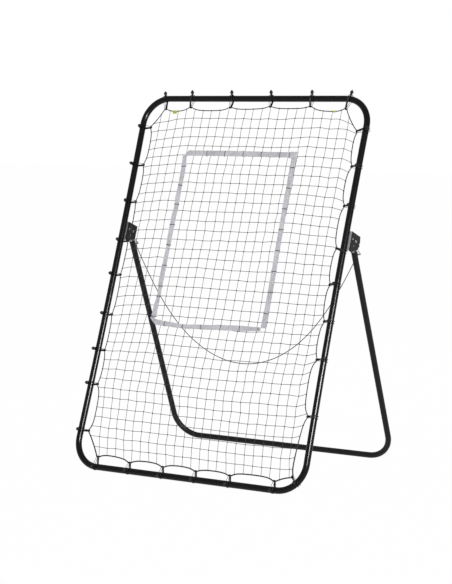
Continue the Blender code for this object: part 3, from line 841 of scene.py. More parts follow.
@dataclass
class TubeFrame:
    """The front frame: two Us and two middle lengths that push together, and their snap buttons."""

    half_width: float = 0.595
    length: float = 1.7825
    corner: float = 0.125
    bow: float = 0.009
    radius: float = 0.0143
    wall: float = 0.0015
    lower_joint: float = 0.594
    upper_joint: float = 1.193
    spigot: float = 0.055
    spigot_radius: float = 0.0125
    button_edge: float = 0.0006
    sides: int = 32

    def side_x(self, up: float) -> float:
        """Half width of the frame at a height up its plane."""
        place = 2 * up / self.length - 1
        return self.half_width - self.bow * (1 - place * place)

    def build(self, finishes: Finishes) -> None:
        """Makes the four tubes and dresses their snap buttons.

        Args:
            finishes: Every finish of the object.
        """
        for name, joint, bar in (("frame_bottom_tube", self.lower_joint, 0.0),
                                 ("frame_top_tube", self.upper_joint, self.length)):
            bm = self._bent(joint, bar)
            finish_piece(f"{name}_finished", bm, ON_FRAME, finishes.coat, (name,), TUBE_CREASE)
        for side in Side:
            name = f"frame_{side.word}_tube"
            bm = self._middle(side)
            finish_piece(f"{name}_finished", bm, ON_FRAME, finishes.coat, (name,), TUBE_CREASE)
            for level in ("lower", "upper"):
                SOFTENER.copy(f"snap_button_{level}_{side.word}", self.button_edge, finishes.zinc, Body.FRAME)

    def _bent(self, joint: float, bar: float) -> Shape:
        """One U, from its open end on the right to the one on the left.

        Args:
            joint: Height of its two open ends.
            bar: Height of its cross bar.

        Returns:
            The U with a rolled mouth at each end.
        """
        inwards = 1.0 if bar == 0.0 else -1.0
        bend = bar + inwards * self.corner
        right = [Vector((self.side_x(up), 0.0, up)) for up in spaced(joint, bend, 12)]
        centre = (self.side_x(bend) - self.corner, bend)
        right += [Vector((x, 0.0, up)) for x, up in arc(centre, self.corner, 0.0, -inwards * 90.0, 18)[1:]]
        left = [Vector((-p.x, p.y, p.z)) for p in reversed(right)]
        span = [Vector((x, 0.0, bar)) for x in spaced(right[-1].x, left[0].x, 14)[1:-1]]
        return mouthed_tube(right + span + left, self.radius, self.wall, self.sides)

    def _middle(self, side: Side) -> Shape:
        """A middle length, drawn in at both ends to push into the Us.

        Args:
            side: The side that it stands on.

        Returns:
            The closed length, its necks included.
        """
        low, high = self.lower_joint, self.upper_joint
        neck = self.spigot_radius
        tip = [(0.0, neck - TIP_CHAMFER), (TIP_LENGTH, neck)]
        profile = [(low - self.spigot + along, radius) for along, radius in tip]
        profile += shoulder(low, 1.0, neck, self.radius)
        profile += [(up, self.radius) for up in spaced(low + SHOULDER, high - SHOULDER, 12)]
        profile += shoulder(high, -1.0, neck, self.radius)[::-1]
        profile += [(high + self.spigot - along, radius) for along, radius in reversed(tip)]
        points = [Vector((side.value * self.side_x(up), 0.0, up)) for up, _ in profile]
        places = frames_along(points, Vector((0.0, 1.0, 0.0)))
        return loft([Ring(place, r, r) for place, (_, r) in zip(places, profile)], self.sides)


def shoulder(joint: float, way: float, neck: float, full: float) -> list[Pair]:
    """The places and radii over which a tube draws in from its full size to its neck, from the neck outwards.

    Args:
        joint: Where the neck starts.
        way: 1 where the full tube lies beyond the joint, and -1 where it lies before it.
        neck: The neck's radius.
        full: The tube's radius.

    Returns:
        The profile's corners.
    """
    profile = [(NECK_END, neck)]
    for t in SLOPE_STEPS:
        profile.append((SLOPE_START + SLOPE_LENGTH * t, neck + (full - neck) * math.sin(t * math.pi / 2)))
    return [(joint + way * along, radius) for along, radius in profile]


def mouthed_tube(points: Sequence[Vector], radius: float, wall: float, sides: int) -> Shape:
    """A bent tube whose two ends are open mouths with rounded lips.

    Args:
        points: The tube's centre line, in a plane across which Y is constant.
        radius: Its outer radius.
        wall: The thickness that its mouths show.
        sides: Corners of its cross-section.

    Returns:
        The tube, bored a little way in from each mouth.
    """
    places = frames_along(points, Vector((0.0, 1.0, 0.0)))
    rings = [Ring(place, radius, radius) for place in places]
    inside = radius - wall
    ends = []
    for place, inwards in ((places[0], 1.0), (places[-1], -1.0)):
        steps = ((inwards * BORE, inside), (0.0, inside), (0.0, radius - LIP), (inwards * LIP, radius))
        ends.append([Ring(place @ Matrix.Translation((0.0, 0.0, shift)), r, r) for shift, r in steps])
    return loft(ends[0] + rings[1:-1] + ends[1][::-1], sides)


@dataclass
class RearLeg:
    """The folding leg: two upper lengths, the U below them, and a tongue on top of each side."""

    length: float = 1.13032
    radius: float = 0.0135
    wall: float = 0.0012
    corner: float = 0.120
    joint: float = 0.620
    mouth: float = 0.0523
    mouth_bore: float = 0.012
    plug_shows: float = 0.002
    spigot: float = 0.055
    spigot_radius: float = 0.0120
    tongue_edge: float = 0.0005
    button_inset: float = 0.025
    button: tuple[Pair, ...] = (
        (0.0126, 0.0040), (0.0150, 0.0040), (0.0160, 0.0034), (0.0166, 0.0022), (0.0168, 0.0008))
    sides: int = 32

    def build(self, finishes: Finishes) -> None:
        """Makes the three tubes, their buttons and the tongues.

        Args:
            finishes: Every finish of the object.
        """
        coat = finishes.leg_coat
        finish_piece("leg_rear_tube_finished", self._bent(), ON_LEG, coat, ("leg_rear_tube",), TUBE_CREASE)
        for side in Side:
            name = f"leg_{side.word}_tube"
            finish_piece(f"{name}_finished", self._upper(side), ON_LEG, coat, (name,), TUBE_CREASE)
            finish_piece(f"leg_button_{side.word}", self._button(side), ON_LEG, finishes.zinc)
            # The tongue's blade is painted pale: painted light that shows through the bracket's holes
            tongue = SOFTENER.copy(f"leg_tongue_{side.word}", self.tongue_edge, finishes.web, Body.LEG)
            self._dark_plug(tongue, coat.material)

    def _dark_plug(self, tongue: Piece, material: Material) -> None:
        """Coats the tongue's round plug like the leg, so that only its flat blade keeps the pale painted
        light.

        Args:
            tongue: The tongue's piece.
            material: The leg's material.
        """
        tongue.data.materials.append(material)
        upright = LEG_PLANE.matrix.inverted()
        plug_top = self.plug_shows - self.mouth
        for face in tongue.data.polygons:
            if (upright @ face.center).z < plug_top:
                face.material_index = 1

    def _bent(self) -> Shape:
        """The lower U, its two mouths up.

        Returns:
            The closed U.
        """
        bend = -self.length + self.corner
        right = [Vector((HINGE_X, 0.0, down)) for down in spaced(-self.joint, bend, 8)]
        turn = arc((HINGE_X - self.corner, bend), self.corner, 0.0, -90.0, 18)[1:]
        right += [Vector((x, 0.0, down)) for x, down in turn]
        left = [Vector((-p.x, p.y, p.z)) for p in reversed(right)]
        span = [Vector((x, 0.0, -self.length)) for x in spaced(right[-1].x, left[0].x, 14)[1:-1]]
        return mouthed_tube(right + span + left, self.radius, self.wall, self.sides)

    def _upper(self, side: Side) -> Shape:
        """One upper length: an open mouth round the tongue's plug, and a drawn-in lower end.

        Args:
            side: The side that it stands on.

        Returns:
            The closed length.
        """
        neck, full = self.spigot_radius, self.radius
        top = -self.mouth
        profile = [(top - self.mouth_bore, full - self.wall), (top, full - self.wall), (top, full - LIP)]
        profile += [(top - LIP, full)]
        profile += [(down, full) for down in spaced(top - 5 * LIP, SHOULDER - self.joint, 10)]
        profile += shoulder(-self.joint, 1.0, neck, full)[::-1] + [(-self.joint - self.spigot, neck)]
        x = side.value * HINGE_X
        return loft([Ring(Matrix.Translation((x, 0.0, down)), r, r) for down, r in profile], self.sides)

    def _button(self, side: Side) -> Shape:
        """The domed head of the button that holds one joint, on the rear of the tube.

        Args:
            side: The side that it stands on.

        Returns:
            The closed head.
        """
        place = Matrix.Translation((side.value * HINGE_X, 0.0, -self.joint - self.button_inset))
        turn = place @ Matrix.Rotation(math.radians(-90.0), 4, "X")
        return loft([Ring(turn @ Matrix.Translation((0.0, 0.0, out)), r, r) for out, r in self.button], 16)


# Brackets and latches


@dataclass
class HingeSide:
    """One side's bracket with its welds, the hinge bolt and nut, the latch, its spring and its pull ring."""

    side: Side
    bar_down: float = 0.0428
    bar_radius: float = 0.0025
    loop_half: float = 0.020
    loop_bend: float = 0.005
    rear: Pair = (0.0197, 0.0740)
    ring_centre: Pair = (0.0237, 0.0755)
    ring_radius: float = 0.0085
    ring_wire: float = 0.0015
    ring_turn: float = 0.00093
    sheet: float = 0.0025
    sheet_margin: float = 0.0003
    bracket_edge: float = 0.0006
    bolt_edge: float = 0.0004
    spring_side: float = 0.0082
    spring_wire: float = 0.0005
    spring_radius: float = 0.0032
    spring_top: float = 0.009
    spring_length: float = 0.025
    spring_turns: float = 12.5
    spring_hook: float = 0.0038
    spring_foot: float = 0.0033
    turn_steps: int = 14
    weld_x: float = 0.5865
    weld_apart: float = 0.0072
    weld_behind: float = 0.0130
    weld_bulge: float = 0.0022
    weld_ripple: float = 0.0003
    ripple_rate: float = 3000.0
    # A bead's depth against its width, and the smallest square of its share of the bulge, at its ends
    weld_flatness: float = 0.8
    weld_least: float = 0.05
    welds: tuple[Pair, ...] = ((1.090, 1.110), (1.138, 1.158))
    weld_steps: int = 20

    def build(self, finishes: Finishes) -> None:
        """Makes every piece of the hinge on this side.

        Args:
            finishes: Every finish of the object.
        """
        word = self.side.word
        bracket = SOFTENER.copy(f"hinge_bracket_{word}", self.bracket_edge, finishes.plate, Body.FRAME)
        # The bracket's web and inside are painted pale: painted light on the web's strip and through the
        # holes
        self._pale_inside(bracket, finishes.web.material)
        for name in (f"pivot_bolt_{word}", f"pivot_nut_{word}"):
            SOFTENER.copy(name, self.bolt_edge, finishes.zinc, Body.FRAME)
        finish_piece(f"bracket_welds_{word}", self._welds(), ON_FRAME, finishes.plate)
        on_latch = Home(LEG_PLANE, self.side.latch)
        for name, bm, home in ((f"latch_{word}", self._latch(), on_latch),
                               (f"pull_ring_{word}", self._ring(), on_latch),
                               (f"latch_spring_{word}", self._spring(), ON_LEG)):
            finish_piece(f"{name}_finished", bm, home, finishes.zinc, (name,))

    def _pale_inside(self, bracket: Piece, material: Material) -> None:
        """Leaves only the bracket's two outer skins black: its web and its inside keep the pale paint,
        painted light that makes the web's strip and the holes read light.

        Args:
            bracket: The bracket's piece.
            material: The pale painted light.
        """
        bracket.data.materials.append(material)
        sides = [vert.co.x for vert in bracket.data.vertices]
        middle = (max(sides) + min(sides)) / 2
        half = (max(sides) - min(sides)) / 2 - self.sheet + self.sheet_margin
        for face in bracket.data.polygons:
            if abs(face.center.x - middle) < half:
                face.material_index = 1

    def _at(self, behind: float, down: float) -> Vector:
        """A point in the hinge's own plane, behind and down the leg from the bolt."""
        return Vector((self.side.value * HINGE_X, behind, -down))

    def _latch(self) -> Shape:
        """The wire loop: the bar through the notches, two arms, and the bridge that the ring hangs on.

        Returns:
            The closed loop.
        """
        start = self._at(0.0, self.bar_down)
        reach = self._at(*self.rear) - start
        along = reach.normalized()
        corners = ((1, 0, 0.0), (1, 1, 90.0), (-1, 1, 180.0), (-1, 0, 270.0))
        route = []
        for across, far, angle in corners:
            far_edge = reach.length - self.loop_bend if far else self.loop_bend
            centre = (across * (self.loop_half - self.loop_bend), far_edge)
            route += arc(centre, self.loop_bend, angle - 90.0, 90.0, 6)
        points = [start + Vector((u, 0.0, 0.0)) + along * v for u, v in route]
        return swept(points, self.bar_radius, 16, along.cross(Vector((1.0, 0.0, 0.0))), closed=True)

    def _ring(self) -> Shape:
        """The split pull ring: two turns of wire that lie side by side.

        Returns:
            Both turns.
        """
        centre = self._at(*self.ring_centre)
        turns = []
        for shift in (-0.5, 0.5):
            points = [centre + Vector((shift * self.ring_wire, y, z))
                      for y, z in arc((0.0, 0.0), self.ring_radius, 0.0, 360.0, 40)[:-1]]
            turns.append(swept(points, self.ring_turn, 10, Vector((1.0, 0.0, 0.0)), closed=True))
        return joined(turns)

    def _spring(self) -> Shape:
        """The close-wound spring beside the tongue, hooked on the bolt and on the latch bar.

        Returns:
            The whole wire.
        """
        shift = Vector((-self.side.value * self.spring_side, 0.0, 0.0))
        hook = [Vector((0.0, y, z)) for y, z in arc((0.0, 0.0), self.spring_hook, -50.0, 280.0, 16)]
        coil = []
        steps = self.spring_turns * self.turn_steps
        for step in range(int(steps) + 1):
            turn = -math.pi / 2 + math.tau * step / self.turn_steps
            down = self.spring_top + self.spring_length * step / steps
            coil.append(Vector((math.cos(turn), math.sin(turn), 0.0)) * self.spring_radius)
            coil[-1].z = -down
        bar = (0.0, -self.bar_down)
        foot = [Vector((0.0, y, z)) for y, z in arc(bar, self.spring_foot, 50.0, -280.0, 16)]
        points = [self._at(0.0, 0.0) + shift + p for p in hook + coil + foot]
        return swept(points, self.spring_wire, 6)

    def _welds(self) -> Shape:
        """Two beads on each side of the web where it meets the side tube.

        Returns:
            The four beads.
        """
        beads = []
        for across in (-1.0, 1.0):
            x = self.side.value * self.weld_x + across * self.weld_apart
            for low, high in self.welds:
                points = []
                for up in spaced(low, high, self.weld_steps):
                    ripple = self.weld_ripple * math.sin(up * self.ripple_rate)
                    points.append(Vector((x, self.weld_behind + ripple, up)))
                places = frames_along(points, Vector((0.0, 1.0, 0.0)))
                sizes = [self._bead(2 * i / self.weld_steps - 1) for i in range(self.weld_steps + 1)]
                beads.append(loft([Ring(p, b, b * self.weld_flatness) for p, b in zip(places, sizes)], 8))
        return joined(beads)

    def _bead(self, share: float) -> float:
        """A weld bead's radius, from -1 at one end to 1 at the other."""
        return self.weld_bulge * math.sqrt(max(self.weld_least, 1 - share**6))


# Ties and the border cord


class Stout(Enum):
    """The side of its tube on which both strands of a tie lie together."""

    FRONT = -1
    REAR = 1


@dataclass(frozen=True)
class TieSpot:
    """How one tie is fitted: its place along its side, its reach to the border cord, and its turns."""

    place: float
    reach: float
    knob_turn: float
    stout: Stout = Stout.REAR
    slant: float = 0.0


@dataclass(frozen=True)
class Tie:
    """One fitted tie: its CAD node, its fit, and its place on the tube, X outwards and Z along the tube."""

    node: str
    spot: TieSpot
    place: Matrix

    @property
    def hook(self) -> Vector:
        """The middle of its hook round the border cord."""
        return self.place @ Vector((-self.spot.reach, 0.0, 0.0))

    @property
    def along(self) -> Vector:
        """The way that the border cord runs through the hook."""
        out = self.place.col[0]
        return Vector((-out.z, 0.0, out.x))


@dataclass
class TieRow:
    """The thirty elastic ties: two strands round tube and border cord, caught under a pointed rubber knob."""

    tubes: TubeFrame
    bottom: tuple[TieSpot, ...] = (
        TieSpot(-0.473, 0.046, 86.0), TieSpot(-0.295, 0.037, 92.0), TieSpot(-0.117, 0.037, 78.0),
        TieSpot(0.055, 0.037, 82.0), TieSpot(0.230, 0.037, 82.0), TieSpot(0.453, 0.038, 78.0))
    corner: TieSpot = TieSpot(math.radians(-41.0), 0.036, 85.0, Stout.FRONT)
    right: tuple[TieSpot, ...] = (
        TieSpot(0.332, 0.0325, 74.0, Stout.FRONT), TieSpot(0.583, 0.035, 67.0, Stout.FRONT),
        TieSpot(0.754, 0.031, 82.0, Stout.FRONT), TieSpot(0.921, 0.035, 98.0, Stout.FRONT),
        TieSpot(1.0755, 0.036, 78.0, Stout.FRONT, 15.0), TieSpot(1.280, 0.035, 92.0, Stout.FRONT),
        TieSpot(1.463, 0.035, 85.0, Stout.FRONT), TieSpot(1.636, 0.043, 59.0, Stout.FRONT, -12.0))
    top: tuple[TieSpot, ...] = (
        TieSpot(-0.494, 0.050, 4.0), TieSpot(-0.344, 0.042, 22.0, Stout.FRONT), TieSpot(-0.127, 0.0415, 26.0),
        TieSpot(0.084, 0.037, 28.0), TieSpot(0.294, 0.036, 20.0, Stout.FRONT),
        TieSpot(0.487, 0.047, 18.0, Stout.FRONT, 6.0))
    left: tuple[TieSpot, ...] = (
        TieSpot(1.638, 0.046, 88.0), TieSpot(1.450, 0.0445, 76.0), TieSpot(1.266, 0.041, 90.0),
        TieSpot(1.073, 0.041, 90.0), TieSpot(0.907, 0.037, 84.0), TieSpot(0.714, 0.0347, 84.0),
        TieSpot(0.543, 0.0357, 71.0), TieSpot(0.380, 0.037, 81.0), TieSpot(0.161, 0.0435, 90.0))
    gap: float = 0.0007
    slanted_gap: float = 0.0020
    strand: float = 0.0023
    squeezed: float = 0.0017
    stretched: float = 0.0010
    pressed: float = 0.0012
    together: float = 0.00237
    apart: float = 0.0067
    hook_radius: float = 0.0043
    knob_droop: float = math.radians(9.0)
    knob_seat: float = 0.0174
    knob: tuple[Pair, ...] = (
        (-0.0022, 0.0046), (0.0004, 0.0048), (0.0050, 0.0050), (0.0078, 0.0060), (0.0096, 0.0076),
        (0.0108, 0.0082), (0.0122, 0.0083), (0.0140, 0.0078), (0.0175, 0.0058), (0.0208, 0.0036),
        (0.0235, 0.0016), (0.0245, 0.0004))
    # How far knobs wobble and strands sway, and how that runs on from one tie to the next
    knob_wobble: float = math.radians(3.0)
    wobble_rate: float = 3.1
    sway: float = 0.0010
    sway_rate: float = 2.4
    sway_from: float = 0.012
    # Within these angles of straight out the floor presses a strand flat, and it leaves this much clear
    press_range: Pair = (40.0, 60.0)
    press_clear: float = 0.0003
    # How far along a strand its spread and its thickness take to settle, from the knob and from the hook
    spread_reach: float = 0.010
    knob_reach: float = 0.009
    hook_reach: float = 0.007
    squeeze_reach: float = 0.012

    def ties(self) -> list[Tie]:
        """Every tie in order round the net, from the bottom left towards the right.

        Returns:
            The fitted ties.
        """
        radius = self.tubes.corner
        inner = self.tubes.side_x(radius) - radius
        made = [self._on_bar(f"tie_bottom_{i}", spot, 0.0, inner) for i, spot in enumerate(self.bottom, 1)]
        turn = self.corner.place
        bend = (inner + radius * math.cos(turn), radius + radius * math.sin(turn))
        made.append(self._fitted("tie_corner", self.corner, *bend, turn))
        made += [self._fitted(f"tie_right_{i}", spot, self.tubes.side_x(spot.place), spot.place, 0.0)
                 for i, spot in enumerate(self.right, 1)]
        made += [self._on_bar(f"tie_top_{i}", self.top[i - 1], self.tubes.length, inner)
                 for i in range(len(self.top), 0, -1)]
        made += [self._fitted(f"tie_left_{i}", spot, -self.tubes.side_x(spot.place), spot.place, math.pi)
                 for i, spot in enumerate(self.left, 1)]
        return made

    def _on_bar(self, node: str, spot: TieSpot, bar: float, inner: float) -> Tie:
        """A tie on a cross bar, or on the bend beside it.

        Args:
            node: Its CAD node.
            spot: Its fit.
            bar: The bar's height up the frame.
            inner: How far from the middle the bends start.

        Returns:
            The tie.
        """
        upward = 1.0 if bar else -1.0
        turn = math.asin(max(0.0, abs(spot.place) - inner) / self.tubes.corner)
        up = bar - upward * self.tubes.corner * (1 - math.cos(turn))
        angle = upward * (math.pi / 2 - math.copysign(turn, spot.place))
        return self._fitted(node, spot, spot.place, up, angle)

    def _fitted(self, node: str, spot: TieSpot, across: float, up: float, angle: float) -> Tie:
        """A tie whose way out from the net is at an angle in the frame's plane.

        Args:
            node: Its CAD node.
            spot: Its fit.
            across: Where it crosses the tube.
            up: Its height up the frame there.
            angle: Its way out, from the right towards the top.

        Returns:
            The tie.
        """
        out = Vector((math.cos(angle), 0.0, math.sin(angle)))
        behind = Vector((0.0, 1.0, 0.0))
        place = Matrix((out, behind, out.cross(behind))).transposed().to_4x4()
        place.translation = (across, 0.0, up)
        return Tie(node, spot, place @ Matrix.Rotation(math.radians(spot.slant), 4, "Y"))

    def build(self, finishes: Finishes) -> None:
        """Makes each tie as one piece.

        Args:
            finishes: Every finish of the object.
        """
        for seed, tie in enumerate(self.ties()):
            on_floor = "bottom" in tie.node
            parts = [self._strand(tie.spot, lane, on_floor, seed) for lane in (-1, 1)]
            parts.append(self._knob(tie.spot, seed, self.knob_droop * tie.place.col[2].z))
            bm = joined(parts)
            bmesh.ops.transform(bm, matrix=tie.place, verts=bm.verts)
            finish_piece(f"{tie.node}_finished", bm, ON_FRAME, finishes.rubber, (tie.node,), SOFT_CREASE)

    def _strand(self, spot: TieSpot, lane: int, on_floor: bool, seed: int) -> Shape:
        """One of a tie's two strands, about a tube along Z at the origin.

        Args:
            spot: The tie's fit.
            lane: Which of the two it is, -1 or 1.
            on_floor: Whether the tube presses it on the floor.
            seed: Varies it a little from tie to tie.

        Returns:
            The closed strand, spread round the knob's neck and on the side where it is stretched thin.
        """
        gap = self.slanted_gap if spot.slant else self.gap
        big = self.tubes.radius + gap + self.strand
        lean = math.degrees(math.acos((big - self.hook_radius) / spot.reach))
        round_tube = arc((0.0, 0.0), big, -180.0 + lean, 2 * (180.0 - lean), 30)
        hook = arc((-spot.reach, 0.0), self.hook_radius, 180.0 - lean, 2 * lean, 8)
        route = round_tube + _spans(round_tube[-1], hook[0], 5) + hook + _spans(hook[-1], round_tube[0], 5)
        knob = (big * math.cos(math.radians(spot.knob_turn)), -big * math.sin(math.radians(spot.knob_turn)))
        start = min(range(len(route)), key=lambda i: math.dist(route[i], knob))
        route = route[start:] + route[:start]
        middle = min(range(len(route)), key=lambda i: route[i][0])
        rear = self._spread(route[:middle + 1], spot.stout is Stout.REAR)
        front = self._spread((route[middle:] + route[:1])[::-1], spot.stout is Stout.FRONT)
        sway = self.sway * math.sin(seed * self.sway_rate) / spot.reach
        points = []
        sizes = []
        for (x, y), (spread, size) in zip(route, rear + front[::-1][1:-1]):
            turn = abs(math.degrees(math.atan2(y, x)))
            flat = 1.0 - _ramp(turn, *self.press_range) if on_floor else 0.0
            press = (self.strand - self.pressed) * flat
            pull = 1.0 - (2 * press + self.press_clear * flat) / big
            along = lane * spread + sway * max(0.0, -x - self.sway_from)
            points.append(Vector((x * pull, y * pull, along)))
            sizes.append((size - press, size))
        places = frames_along(points, Vector((0.0, 0.0, 1.0)), closed=True)
        rings = [Ring(place, width, depth) for place, (width, depth) in zip(places, sizes)]
        return loft(rings, 8, closed=True)

    def _spread(self, branch: list[Pair], stout: bool) -> list[Pair]:
        """How far a strand lies from its tie's middle and how thick it is, from the knob to the hook.

        Args:
            branch: The points of that half of the strand.
            stout: Whether the strands lie together on this side.

        Returns:
            The distance and the radius at each point.
        """
        gone = [0.0]
        for here, there in zip(branch, branch[1:]):
            gone.append(gone[-1] + math.dist(here, there))
        found = []
        for length in gone:
            share = _bump(length, self.spread_reach) if stout else 1.0 - length / gone[-1]
            near = max(_bump(length, self.knob_reach), _bump(gone[-1] - length, self.hook_reach))
            size = self.strand if stout else self.stretched + (self.strand - self.stretched) * near
            size -= (self.strand - self.squeezed) * _bump(length, self.squeeze_reach)
            found.append((self.together + (self.apart - self.together) * share, size))
        return found

    def _knob(self, spot: TieSpot, seed: int, droop: float) -> Shape:
        """The pointed knob, on the side of the tube that its turn gives.

        Args:
            spot: The tie's fit.
            seed: Varies it a little from tie to tie.
            droop: How far it hangs from straight out.

        Returns:
            The closed knob.
        """
        turn = Matrix.Rotation(math.radians(-spot.knob_turn), 4, "Z") @ Matrix.Rotation(math.pi / 2, 4, "Y")
        wobble = Matrix.Rotation(self.knob_wobble * math.sin(seed * self.wobble_rate), 4, "X")
        seat = self.knob_seat + (self.slanted_gap - self.gap if spot.slant else 0.0)
        base = turn @ Matrix.Translation((0.0, 0.0, seat)) @ Matrix.Rotation(droop, 4, "Y") @ wobble
        return loft([Ring(base @ Matrix.Translation((0.0, 0.0, out)), r, r) for out, r in self.knob], 18)


def _spans(start: Pair, end: Pair, spans: int) -> list[Pair]:
    """The points between two flat points, ends left out."""
    return [(start[0] + (end[0] - start[0]) * i / spans, start[1] + (end[1] - start[1]) * i / spans)
            for i in range(1, spans)]


def _ramp(value: float, low: float, high: float) -> float:
    """Goes smoothly from 0 at low to 1 at high."""
    t = max(0.0, min(1.0, (value - low) / (high - low)))
    return t * t * (3 - 2 * t)


def _bump(gone: float, reach: float) -> float:
    """Falls smoothly from 1 to 0 over a few reaches."""
    return math.exp(-((gone / reach) ** 2))


def _noise(kind: Triple, x: float, y: float) -> float:
    """Smooth noise at a point, of the kind given by its two rates and its layer."""
    return noise.noise(Vector((kind[0] * x, kind[1] * y, kind[2])))


def read_between(stations: Sequence[tuple[float, ...]], place: float) -> tuple[float, ...]:
    """Reads values that are given at stations.

    Args:
        stations: Each station's place, in rising order, and its values.
        place: Where to read.

    Returns:
        The values there, with the first or last station's beyond the ends.
    """
    if place <= stations[0][0]:
        return stations[0][1:]
    for here, there in zip(stations, stations[1:]):
        if place <= there[0]:
            share = _ramp(place, here[0], there[0])
            return tuple(a + (b - a) * share for a, b in zip(here[1:], there[1:]))
    return stations[-1][1:]


@dataclass
class BorderCord:
    """The cord round the net: through each tie's hook, and drawn in towards the net between them."""

    ties: list[Tie]
    radius: float = 0.0022
    low_swell: float = 0.35
    straight: float = 0.005
    spacing: float = 0.010
    pull_reach: float = 0.024
    swell_range: Pair = (0.10, 0.25)
    ripple: float = 0.0010
    ripple_noise: Triple = (9.0, 9.0, 3.0)
    # Each tab's name, its place across, its width and how far it hangs
    tabs: tuple[tuple[str, float, float, float], ...] = (
        ("border_tab_left", -0.430, 0.022, 0.015), ("border_tab_right", 0.420, 0.017, 0.008))
    tabs_from: float = 1.5
    tab_above: float = 0.003
    tab_depth: float = 0.0058
    tab_front: float = -0.0004
    tab_pinch: float = 0.25
    tab_edge: float = 0.0005
    sags: tuple[float, ...] = (
        0.0155, 0.0150, 0.0140, 0.0117, 0.0158, 0.0040, 0.0142,
        0.0233, 0.0134, 0.0121, 0.0115, 0.0153, 0.0166, 0.0116, 0.0060,
        0.0190, 0.0113, 0.0120, 0.0175, 0.0160, 0.0040,
        0.0139, 0.0104, 0.0055, 0.0035, 0.0075, 0.0057, 0.0095, 0.0193, 0.0040)

    def route(self) -> list[Vector]:
        """The cord's closed line in the frame's plane.

        Returns:
            Its points, from the first tie's hook round the net.
        """
        ends = []
        for tie in self.ties:
            reach = self.straight * tie.along
            ends.append((tie.hook - reach, tie.hook + reach))
        line = []
        for index, (before, after) in enumerate(ends):
            span = ends[(index + 1) % len(ends)][0] - after
            inwards = Vector((-span.z, 0.0, span.x)).normalized()
            line += [before, (before + after) / 2]
            steps = max(6, round(span.length / self.spacing))
            for step in range(steps):
                depth = self.sags[index] * self._depth(span.length * step / steps, span.length)
                line.append(after + span * step / steps + inwards * depth)
        return line

    def _depth(self, gone: float, length: float) -> float:
        """The share of its sag that a span has somewhere along it.

        Args:
            gone: The distance from the span's start.
            length: The span's length.

        Returns:
            0 at both ends, and 1 in the middle.
        """
        ends = (gone, length - gone, length / 2, length / 2)
        rise = [1.0 - math.exp(-end / self.pull_reach) for end in ends]
        return rise[0] * rise[1] / (rise[2] * rise[3])

    def build(self, finishes: Finishes) -> None:
        """Makes the cord and the two plain tabs sewn to it.

        Args:
            finishes: Every finish of the object.
        """
        route = self.route()
        rings = []
        points = [p + Vector((0.0, self.ripple * _noise(self.ripple_noise, p.x, p.z), 0.0)) for p in route]
        for point, place in zip(points, frames_along(points, Vector((0.0, 1.0, 0.0)), True)):
            radius = self.radius * (1.0 + self.low_swell * (1.0 - _ramp(point.z, *self.swell_range)))
            rings.append(Ring(place, radius, radius))
        bm = loft(rings, 10, True)
        node = "net_border_cord"
        finish_piece(f"{node}_finished", bm, ON_FRAME, finishes.border, (node,), CORD_CREASE)
        for name, across, width, drop in self.tabs:
            near = min((p for p in route if p.z > self.tabs_from), key=lambda p: abs(p.x - across))
            finish_piece(name, self._tab(near, width, drop), ON_FRAME, finishes.tab)

    def _tab(self, near: Vector, width: float, drop: float) -> Shape:
        """A folded cloth tab over the cord: a thin sheet down the front and back of it.

        Args:
            near: The point of the cord that it hangs on.
            width: Its width.
            drop: How far it reaches down.

        Returns:
            The closed tab.
        """
        bm = bmesh.new()
        bmesh.ops.create_cube(bm, size=1.0)
        middle = near.z + self.tab_above - drop / 2
        place = Matrix.Translation((near.x, self.tab_front, middle))
        size = Matrix.Diagonal((width, self.tab_depth, drop, 1.0))
        bmesh.ops.transform(bm, matrix=place @ size, verts=bm.verts)
        hanging = [v for v in bm.verts if v.co.z < middle]
        bmesh.ops.scale(bm, vec=(1.0, self.tab_pinch, 1.0), verts=hanging)
        bmesh.ops.bevel(bm, geom=bm.edges[:], offset=self.tab_edge, segments=2, profile=0.5, affect="EDGES",
                        material=-1)
        bmesh.ops.recalc_face_normals(bm, faces=bm.faces)
        return bm


# Net and target

# Below this two lines count as parallel, and this far past a side's end, in its lengths, still meets it
PARALLEL = 1e-12
NEAR_MISS = 0.001


@dataclass(frozen=True)
class Swell:
    """A place where the hung net's rows are drawn up or down, and how far that reaches."""

    rise: float
    across: float
    reach_across: float
    up: float
    reach_up: float

    def at(self, across: float, up: float) -> float:
        """The rise that it gives to a point."""
        return self.rise * _bump(across - self.across, self.reach_across) * _bump(up - self.up, self.reach_up)


